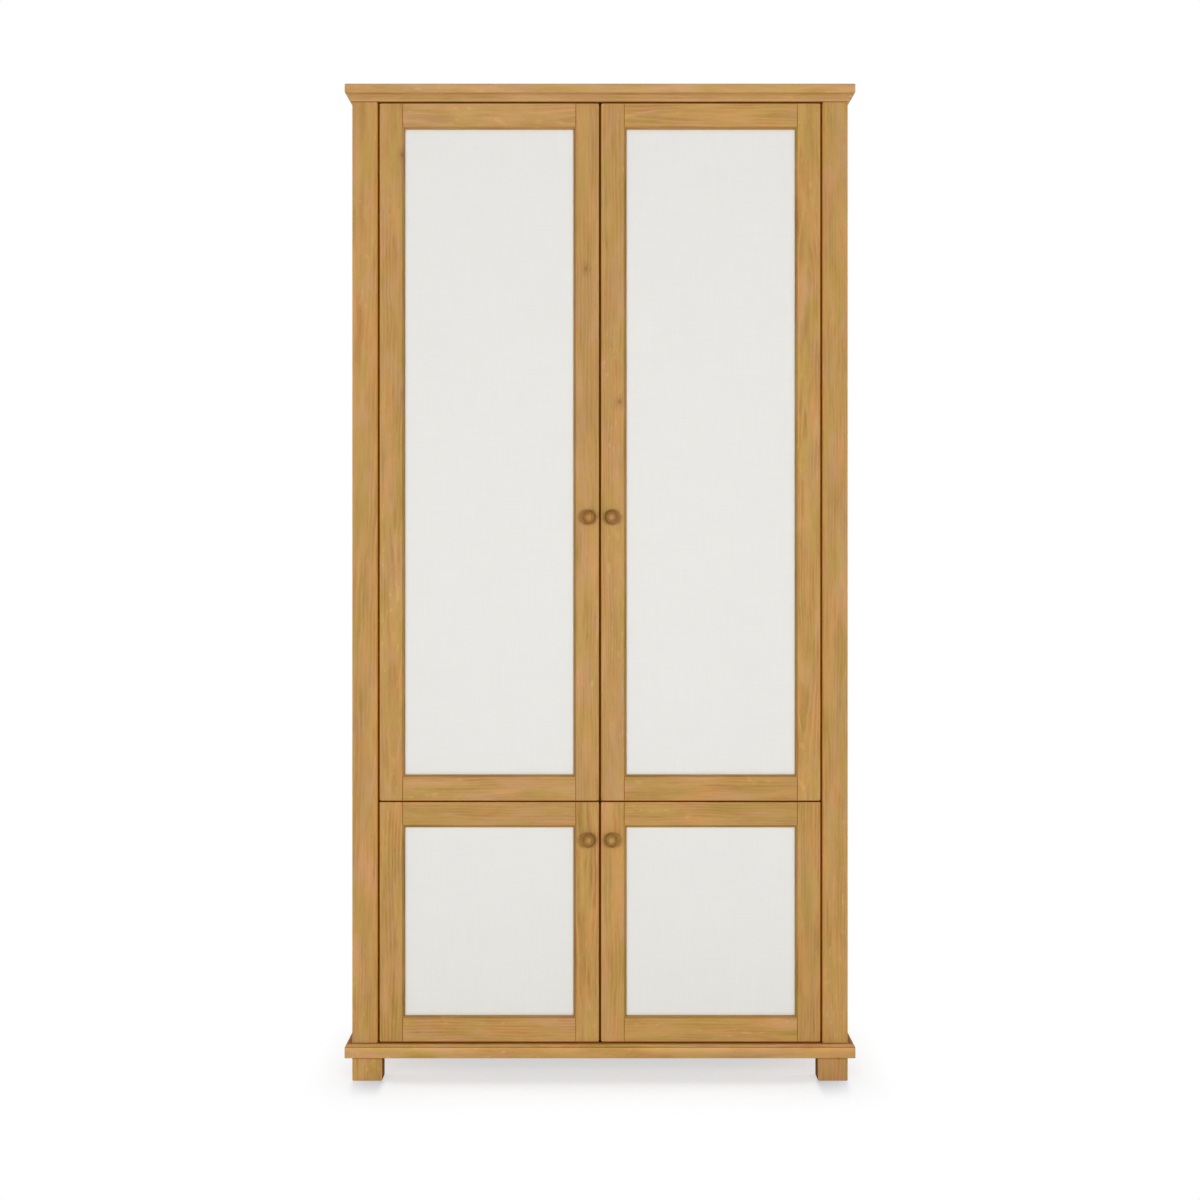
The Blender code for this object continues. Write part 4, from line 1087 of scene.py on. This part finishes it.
class MakeDoorFrames(CabinetOperator):
    """Stiles and rails of the four doors, with the hinge cups in them"""

    bl_idname = "cabinet.door_frames"
    bl_label = "Door frames"

    def make(self, context):
        for word in WORDS:
            for member in ("top_rail", "bottom_rail", "meeting_stile"):
                board(f"{word}_{member}")
            board(f"{word}_hinge_stile", is_metal=self.in_cup)

    @staticmethod
    def in_cup(point):
        """True on a hinge cup, which is behind the door or inside the stile."""
        low, high = BOXES["upper_left_hinge_stile"]
        across = CUP_INNER < abs(point.x) < CUP_OUTER
        inside = across and FRONT + CUP_FRONT < point.y < DOOR_BACK - CLEARANCE
        edge = abs(point.x) < low.x
        return point.y > DOOR_BACK + CLEARANCE or (inside and not edge and cup_near(point))


def cup_near(point):
    """True within the radius of a hinge cup."""
    for node in frame["nodes"]:
        if "hinge_arm" in node:
            low, high = BOXES[node]
            height = (low.z + high.z) / 2
            if abs(point.z - height) < CUP_REACH and abs(abs(point.x) - CUP_MIDDLE) < CUP_REACH:
                return side_of(node) * point.x > 0
    return False


class MakeStrips(CabinetOperator):
    """Brown pile strips that keep dust out of the gaps between the doors"""

    bl_idname = "cabinet.strips"
    bl_label = "Dust strips"

    def make(self, context):
        for word in WORDS:
            side = side_of(word)
            stile = BOXES[word + "_meeting_stile"]
            edge = side * min(abs(stile[0].x), abs(stile[1].x))
            self.strip(
                word + "_meeting_strip", word + "_door", Vector((edge, FRONT + MEETING_SETBACK, 0)),
                Vector((-side, 0, 0)), (stile[0].z + STRIP_WIDTH, stile[1].z - STRIP_WIDTH),
            )
            hinge = BOXES[word + "_hinge_stile"]
            ends = sorted((edge, side * max(abs(hinge[0].x), abs(hinge[1].x))))
            levels = [("foot", stile[0].z, -1)]
            if "upper" in word:
                levels.append(("head", stile[1].z, 1))
            for end, level, way in levels:
                self.strip(
                    f"{word}_{end}_strip", word + "_door", Vector((0, FRONT + STRIP_SETBACK, level)),
                    Vector((0, 0, way)), (ends[0] + STRIP_WIDTH, ends[1] - STRIP_WIDTH),
                )
        for side, word in ((-1, "left"), (1, "right")):
            post = BOXES[f"front_{word}_post"]
            self.strip(
                f"{word}_post_strip", "carcass", Vector((side * OPENING_HALF, FRONT + STRIP_SETBACK, 0)),
                Vector((-side, 0, 0)), (post[0].z + STRIP_WIDTH, post[1].z - STRIP_WIDTH),
            )

    @staticmethod
    def strip(name, body, foot, out, ends):
        """A half-round strip on the edge that foot lies on, from one end to the other."""
        along = Vector((0, 0, 1)) if out.x else Vector((1, 0, 0))
        points = []
        for step in range(STRIP_STEPS + 1):
            turn = math.pi * step / STRIP_STEPS
            points.append(
                foot + out * STRIP_REACH * math.sin(turn) + Vector((0, -STRIP_WIDTH / 2 * math.cos(turn), 0))
            )
        count = len(points)
        verts = [point + along * end for end in ends for point in points]
        faces = [(i, (i + 1) % count, (i + 1) % count + count, i + count) for i in range(count)]
        faces += [tuple(range(count)), tuple(range(2 * count - 1, count - 1, -1))]
        mesh = bpy.data.meshes.new(name)
        mesh.from_pydata(verts, [], faces)
        with editing(mesh) as bm:
            bmesh.ops.recalc_face_normals(bm, faces=bm.faces)
            for face in bm.faces:
                face.smooth = True
        mesh.set_sharp_from_angle(angle=SHARP_ANGLE)
        # The strip's painted light or shade
        tone = next((value for word, value in STRIP_LIGHT_AND_SHADE if word in name), 1.0)
        lay(mesh, "tone", [tone] * len(mesh.vertices), "POINT")
        strip = new_object(name, mesh)
        mesh.materials.append(finish("brown_pile"))
        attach(strip, body)


class MakeLinen(CabinetOperator):
    """The linen on the front of the door panels"""

    bl_idname = "cabinet.linen"
    bl_label = "Linen panels"

    def make(self, context):
        sizes = context.scene.cabinet_detail
        for word in WORDS:
            node = word + "_panel"
            low, high = BOXES[node]
            width, height = high.x - low.x, high.z - low.z
            across = round(width / sizes.linen_step)
            up = round(height / sizes.linen_step)
            front = PANEL_FACE - sizes.linen_thickness / 2
            bm = bmesh.new()
            bmesh.ops.create_grid(bm, x_segments=across, y_segments=up, size=0.5)
            stand = Matrix.Translation(((low.x + high.x) / 2, front, (low.z + high.z) / 2))
            stand = stand @ Matrix.Rotation(math.pi / 2, 4, "X") @ Matrix.Diagonal((width, height, 1, 1))
            bmesh.ops.transform(bm, matrix=stand, verts=bm.verts)
            mesh = bpy.data.meshes.new(word + "_linen")
            uv = bm.loops.layers.uv.new("cloth")
            draw = random.Random("bolt of " + word)
            start = (draw.uniform(0, 5), draw.uniform(0, 5))
            for face in bm.faces:
                face.smooth = True
                for loop in face.loops:
                    loop[uv].uv = (loop.vert.co.x + start[0], loop.vert.co.z + start[1])
            bm.to_mesh(mesh)
            bm.free()
            cloth = new_object(word + "_linen", mesh)
            solid = cloth.modifiers.new("thickness", "SOLIDIFY")
            solid.thickness = sizes.linen_thickness
            solid.offset = 0
            applied(cloth)
            cloth.data.materials.append(finish("panel_linen"))
            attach(cloth, BODIES[node])
            frame["nodes"][node].material_slots[0].material = finish("panel_board")


# The turned outline of a knob, as (distance from the door, radius)
KNOB_RINGS = (
    (0.0000, 0.00830), (0.0010, 0.00850), (0.0024, 0.00800), (0.0046, 0.00760), (0.0066, 0.00830),
    (0.0080, 0.01040), (0.0088, 0.01230), (0.0096, 0.01400), (0.0106, 0.01505), (0.0120, 0.01550),
    (0.0136, 0.01550), (0.0154, 0.01500), (0.0174, 0.01400), (0.0192, 0.01270), (0.0208, 0.01120),
    (0.0220, 0.00960), (0.0226, 0.00860), (0.0226, 0.00800), (0.0236, 0.00770), (0.0247, 0.00690),
    (0.0254, 0.00520), (0.0258, 0.00300), (0.0260, 0.00000),
)
KNOB_SIDES = 40
KNOB_SCREW_SHARE = 1.2

# The painted shade on a knob, partly oil on its shoulder, as (distance from a middle, amount), and how far
# that middle lies from the knob's own towards the middle of the cabinet, which paints a crescent shadow on
# its outer side
KNOB_SHADOW_OFFSET = 0.0024
KNOB_SHOULDER_SHADE = ((0.0040, 0.0), (0.0062, 1.0), (0.0125, 1.0), (0.0145, 0.3))
KNOB_RIM_SHADE = ((0.0085, 0.0), (0.0115, 0.45), (0.0128, 0.45), (0.0150, 0.22))


class MakeKnobs(CabinetOperator):
    """The four turned knobs, with the screws that hold them"""

    bl_idname = "cabinet.knobs"
    bl_label = "Knobs"

    def make(self, context):
        for word in WORDS:
            node = word + "_knob"
            low, high = BOXES[node]
            centre = Vector(((low.x + high.x) / 2, FRONT, (low.z + high.z) / 2))
            bm = bmesh.new()
            rings = []
            for reach, radius in KNOB_RINGS[:-1]:
                ring = []
                for step in range(KNOB_SIDES):
                    turn = 2 * math.pi * step / KNOB_SIDES
                    away = Vector((radius * math.cos(turn), -reach, radius * math.sin(turn)))
                    ring.append(bm.verts.new(centre + away))
                rings.append(ring)
            tip = bm.verts.new(centre - Vector((0, KNOB_RINGS[-1][0], 0)))
            for below, above in zip(rings, rings[1:]):
                for step in range(KNOB_SIDES):
                    after = (step + 1) % KNOB_SIDES
                    bm.faces.new((below[step], below[after], above[after], above[step]))
            for step in range(KNOB_SIDES):
                bm.faces.new((rings[-1][step], rings[-1][(step + 1) % KNOB_SIDES], tip))
            bm.faces.new(rings[0])
            bmesh.ops.recalc_face_normals(bm, faces=bm.faces)
            for face in bm.faces:
                face.smooth = True
            mesh = bpy.data.meshes.new(node)
            bm.to_mesh(mesh)
            bm.free()
            mesh.set_sharp_from_angle(angle=SHARP_ANGLE)
            knob = new_object(node + "_turned", mesh)
            mesh.materials.append(finish("cabinet_oak"))
            lay_grain(mesh, node)
            # The shade's middle is moved towards the cabinet's middle, which paints a crescent shadow on the
            # knob's outer side
            self.painted_shade(mesh, centre - Vector((side_of(word) * KNOB_SHADOW_OFFSET, 0, 0)))
            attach(knob, BODIES[node])
            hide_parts(node)
            diameter = context.scene.cabinet_detail.screw_diameter * KNOB_SCREW_SHARE
            place = (Vector((centre.x, DOOR_BACK, centre.z)), BACKWARD)
            screws(word + "_knob_screw", BODIES[node], [place], diameter)

    @staticmethod
    def painted_shade(mesh, middle):
        """Paints shade on the knob from its bright tip to its ring, partly oil on the shoulder, and a
        crescent shadow on its outer side.
        """
        for name, steps in (("hollow", KNOB_SHOULDER_SHADE), ("seam", KNOB_RIM_SHADE)):
            mesh.attributes.remove(mesh.attributes[name])
            lay(mesh, name, [
                along_steps(math.hypot(v.co.x - middle.x, v.co.z - middle.z), steps) for v in mesh.vertices
            ], "POINT")


def along_steps(at, steps):
    """The value at a place on a line through (place, value) points, level beyond its ends."""
    for (low, first), (high, last) in zip(steps, steps[1:]):
        if at < high:
            share = min(max((at - low) / (high - low), 0), 1)
            return first + (last - first) * share
    return steps[-1][1]


class MakeHinges(CabinetOperator):
    """Hinge arms on their plates, and the screws of plates and cups"""

    bl_idname = "cabinet.hinges"
    bl_label = "Hinges"

    def make(self, context):
        sizes = context.scene.cabinet_detail
        plate_screws, cup_screws = [], {word: [] for word in WORDS}
        wing_face = OPENING_HALF - PLATE_WING
        flange_face = DOOR_BACK + CUP_FLANGE
        for node in sorted(frame["nodes"]):
            if "hinge_arm" not in node:
                continue
            side = side_of(node)
            low, high = BOXES[node]
            height = (low.z + high.z) / 2
            arm = new_object(node + "_steel", merged(node))
            mark_edges(arm.data, no_metal, True)
            eased(arm, sizes.metal_ease)
            arm.data.materials.append(finish("hinge_steel"))
            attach(arm, BODIES[node])
            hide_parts(node)
            word = node.split("_hinge_arm")[0]
            for step in (-1, 1):
                at_plate = (side * wing_face, FRONT + PLATE_SCREW_BACK, height + step * PLATE_SCREW_RISE)
                at_cup = (side * CUP_SCREW_MIDDLE, flange_face, height + step * CUP_SCREW_RISE)
                plate_screws.append((Vector(at_plate), Vector((-side, 0, 0))))
                cup_screws[word].append((Vector(at_cup), BACKWARD))
        screws("hinge_plate_screws", "carcass", plate_screws, sizes.screw_diameter)
        for word in WORDS:
            diameter = sizes.screw_diameter * CUP_SCREW_SHARE
            screws(word + "_cup_screws", word + "_door", cup_screws[word], diameter)


# Pairs of lamps: name, place of the right one, and size
LAMPS = (
    ("front", (1.75, -4.9, 1.35), 1.5), ("side", (5.0, 0.5, 1.7), 1.8), ("rear", (2.2, 4.8, 1.9), 2.0)
)
SENSOR_WIDTH = 36
VIEW_END = 60
FLOOR_HALF = 12.0

# The floor near the cabinet: where it is, how it stretches sideways and how far it fades
FLOOR_NEAR = (0.46, 0.24, 0)
FLOOR_STRETCH = (2.4, 1, 0)
FLOOR_FADE = 0.36
# The patch of floor before each foot, polished and painted with a grey reflection of the foot: its half
# width, full and gone; its length; and where it ends, measured back from the cabinet's front
POLISH_WIDTH = (0.026, 0.040)
POLISH_LENGTH = 0.20
POLISH_FRONT = (-0.004, 0.006)
# The painted grey reflection of each foot on the floor, and the tint of the floor that the lamps light
PAINTED_FOOT_REFLECTION = (0.160, 0.110, 0.040)
FLOOR_TINT = (0.98, 1.0, 1.03)


class MakeStage(CabinetOperator):
    """Floor, background, lamps and camera"""

    bl_idname = "cabinet.stage"
    bl_label = "Stage"

    def make(self, context):
        stage = context.scene.cabinet_stage
        self.make_floor(stage)
        self.make_world(context, stage)
        for side, word in ((-1, "left"), (1, "right")):
            for end, (x, y, z), size in LAMPS:
                self.make_lamp(f"{end}_{word}_lamp", (side * x, y, z), size, getattr(stage, end + "_power"))
        data = bpy.data.cameras.new("camera")
        data.sensor_width = SENSOR_WIDTH
        data.lens = stage.lens
        data.shift_y = stage.shift
        data.clip_end = VIEW_END
        camera = new_object("camera", data)
        camera.location = (0, FRONT - stage.camera_distance, stage.camera_height)
        camera.rotation_euler = (math.pi / 2, 0, 0)
        context.scene.camera = camera

    @staticmethod
    def make_lamp(name, place, size, power):
        data = bpy.data.lights.new(name, "AREA")
        data.shape = "SQUARE"
        data.size = size
        data.energy = power
        lamp = new_object(name, data)
        lamp.location = place
        aim = Vector((0, 0, MIDDLE_HEIGHT)) - lamp.location
        lamp.rotation_euler = aim.to_track_quat("-Z", "Y").to_euler()
        lamp.visible_camera = False

    @staticmethod
    def seen_rays(tree):
        """1 for the rays that show the background: from the camera, off gloss and through glass."""
        rays = add(tree, "ShaderNodeLightPath").outputs
        seen = number(tree, "MAXIMUM", rays["Is Camera Ray"], rays["Is Glossy Ray"])
        return number(tree, "MAXIMUM", seen, rays["Is Transmission Ray"])

    def make_floor(self, stage):
        half = FLOOR_HALF
        mesh = bpy.data.meshes.new("floor")
        mesh.from_pydata(
            [(-half, -half, 0), (half, -half, 0), (half, half, 0), (-half, half, 0)], [], [(0, 1, 2, 3)]
        )
        floor = new_object("floor", mesh)
        material = bpy.data.materials.new("floor_white")
        material.use_nodes = True
        tree = material.node_tree
        tree.nodes.clear()
        place = place_on(tree)
        out = vector(tree, "SUBTRACT", vector(tree, "ABSOLUTE", place, place), FLOOR_NEAR)
        out = vector(tree, "MULTIPLY", vector(tree, "MAXIMUM", out, (0, 0, 0)), FLOOR_STRETCH)
        away = vector(tree, "LENGTH", out, out)
        far = ramp(tree, away, 0.0, FLOOR_FADE)
        beside = vector(tree, "SUBTRACT", vector(tree, "ABSOLUTE", place, place), (FOOT_MIDDLE, 0, 0))
        beside = split(tree, vector(tree, "ABSOLUTE", beside, place))[0]
        gloss_and_painted_reflection = ramp(tree, beside, *POLISH_WIDTH, 1.0, 0.0) * ramp(tree, away, 0.0, POLISH_LENGTH, 1.0, 0.0)
        first, last = (FRONT + reach for reach in POLISH_FRONT)
        gloss_and_painted_reflection = gloss_and_painted_reflection * ramp(tree, split(tree, place)[1], first, last, 1.0, 0.0)
        gloss = gloss_and_painted_reflection * stage.floor_gloss
        white = far * (1 - stage.floor_white) + stage.floor_white - gloss
        # A painted reflection: the floor's glow is darkened before each foot
        painted_reflection = vector(tree, "SCALE", PAINTED_FOOT_REFLECTION, gloss_and_painted_reflection)
        glow = vector(tree, "SUBTRACT", vector(tree, "SCALE", (1, 1, 1), white), painted_reflection)
        lit = vector(tree, "SCALE", FLOOR_TINT, (1.0 - far) * stage.floor_lit)
        mirrored = wire(tree, "ShaderNodeCombineXYZ", 0, {0: gloss, 1: gloss, 2: gloss})
        glow = wire(tree, "ShaderNodeEmission", 0, {"Color": glow, "Strength": 1.0})
        matt = wire(tree, "ShaderNodeBsdfDiffuse", 0, {"Color": lit})
        mirror = wire(tree, "ShaderNodeBsdfGlossy", 0, {"Color": mirrored, "Roughness": 0.10})
        shown = wire(tree, "ShaderNodeAddShader", 0, {0: glow, 1: matt})
        shown = wire(tree, "ShaderNodeAddShader", 0, {0: shown, 1: mirror})
        pale = wire(tree, "ShaderNodeBsdfDiffuse", 0, {"Color": (0.72, 0.72, 0.72, 1)})
        both = wire(tree, "ShaderNodeMixShader", 0, {0: self.seen_rays(tree), 1: pale, 2: shown})
        add(tree, "ShaderNodeOutputMaterial", {"Surface": both})
        mesh.materials.append(material)

    def make_world(self, context, stage):
        world = bpy.data.worlds.new("studio")
        context.scene.world = world
        world.use_nodes = True
        tree = world.node_tree
        tree.nodes.clear()
        white, soft = (
            wire(tree, "ShaderNodeBackground", 0, {"Color": (1, 1, 1, 1), "Strength": strength})
            for strength in (1.0, stage.ambient)
        )
        both = wire(tree, "ShaderNodeMixShader", 0, {0: self.seen_rays(tree), 1: soft, 2: white})
        add(tree, "ShaderNodeOutputWorld", {"Surface": both})


OPERATORS = (
    MakeStage, MakeUprights, MakeCarcass, MakeShelves, MakeBack, MakeDoorFrames, MakeStrips, MakeLinen,
    MakeKnobs, MakeHinges,
)


class CabinetPanel(bpy.types.Panel):
    """Lists the cabinet's pieces and sizes"""

    bl_idname = "VIEW3D_PT_cabinet"
    bl_label = "Tall oak cabinet"
    bl_space_type = "VIEW_3D"
    bl_region_type = "UI"
    bl_category = "Cabinet"

    def draw(self, context):
        for name, kind in GROUPS:
            column = self.layout.column(align=True)
            for setting in kind.__annotations__:
                column.prop(getattr(context.scene, name), setting)
        for operator in OPERATORS:
            self.layout.operator(operator.bl_idname)


GROUPS = (
    ("cabinet_finish", CabinetFinish), ("cabinet_detail", CabinetDetail), ("cabinet_stage", CabinetStage)
)


def register():
    for name, group in GROUPS:
        bpy.utils.register_class(group)
        setattr(bpy.types.Scene, name, bpy.props.PointerProperty(type=group))
    for operator in OPERATORS:
        bpy.utils.register_class(operator)
    bpy.utils.register_class(CabinetPanel)


def unregister():
    bpy.utils.unregister_class(CabinetPanel)
    for operator in reversed(OPERATORS):
        bpy.utils.unregister_class(operator)
    for name, group in reversed(GROUPS):
        delattr(bpy.types.Scene, name)
        bpy.utils.unregister_class(group)


def main():
    """Makes every piece."""
    register()
    bpy.context.scene.view_settings.view_transform = "Standard"
    for operator in OPERATORS:
        group, name = operator.bl_idname.split(".")
        getattr(getattr(bpy.ops, group), name)()


if __name__ == "__main__":
    main()
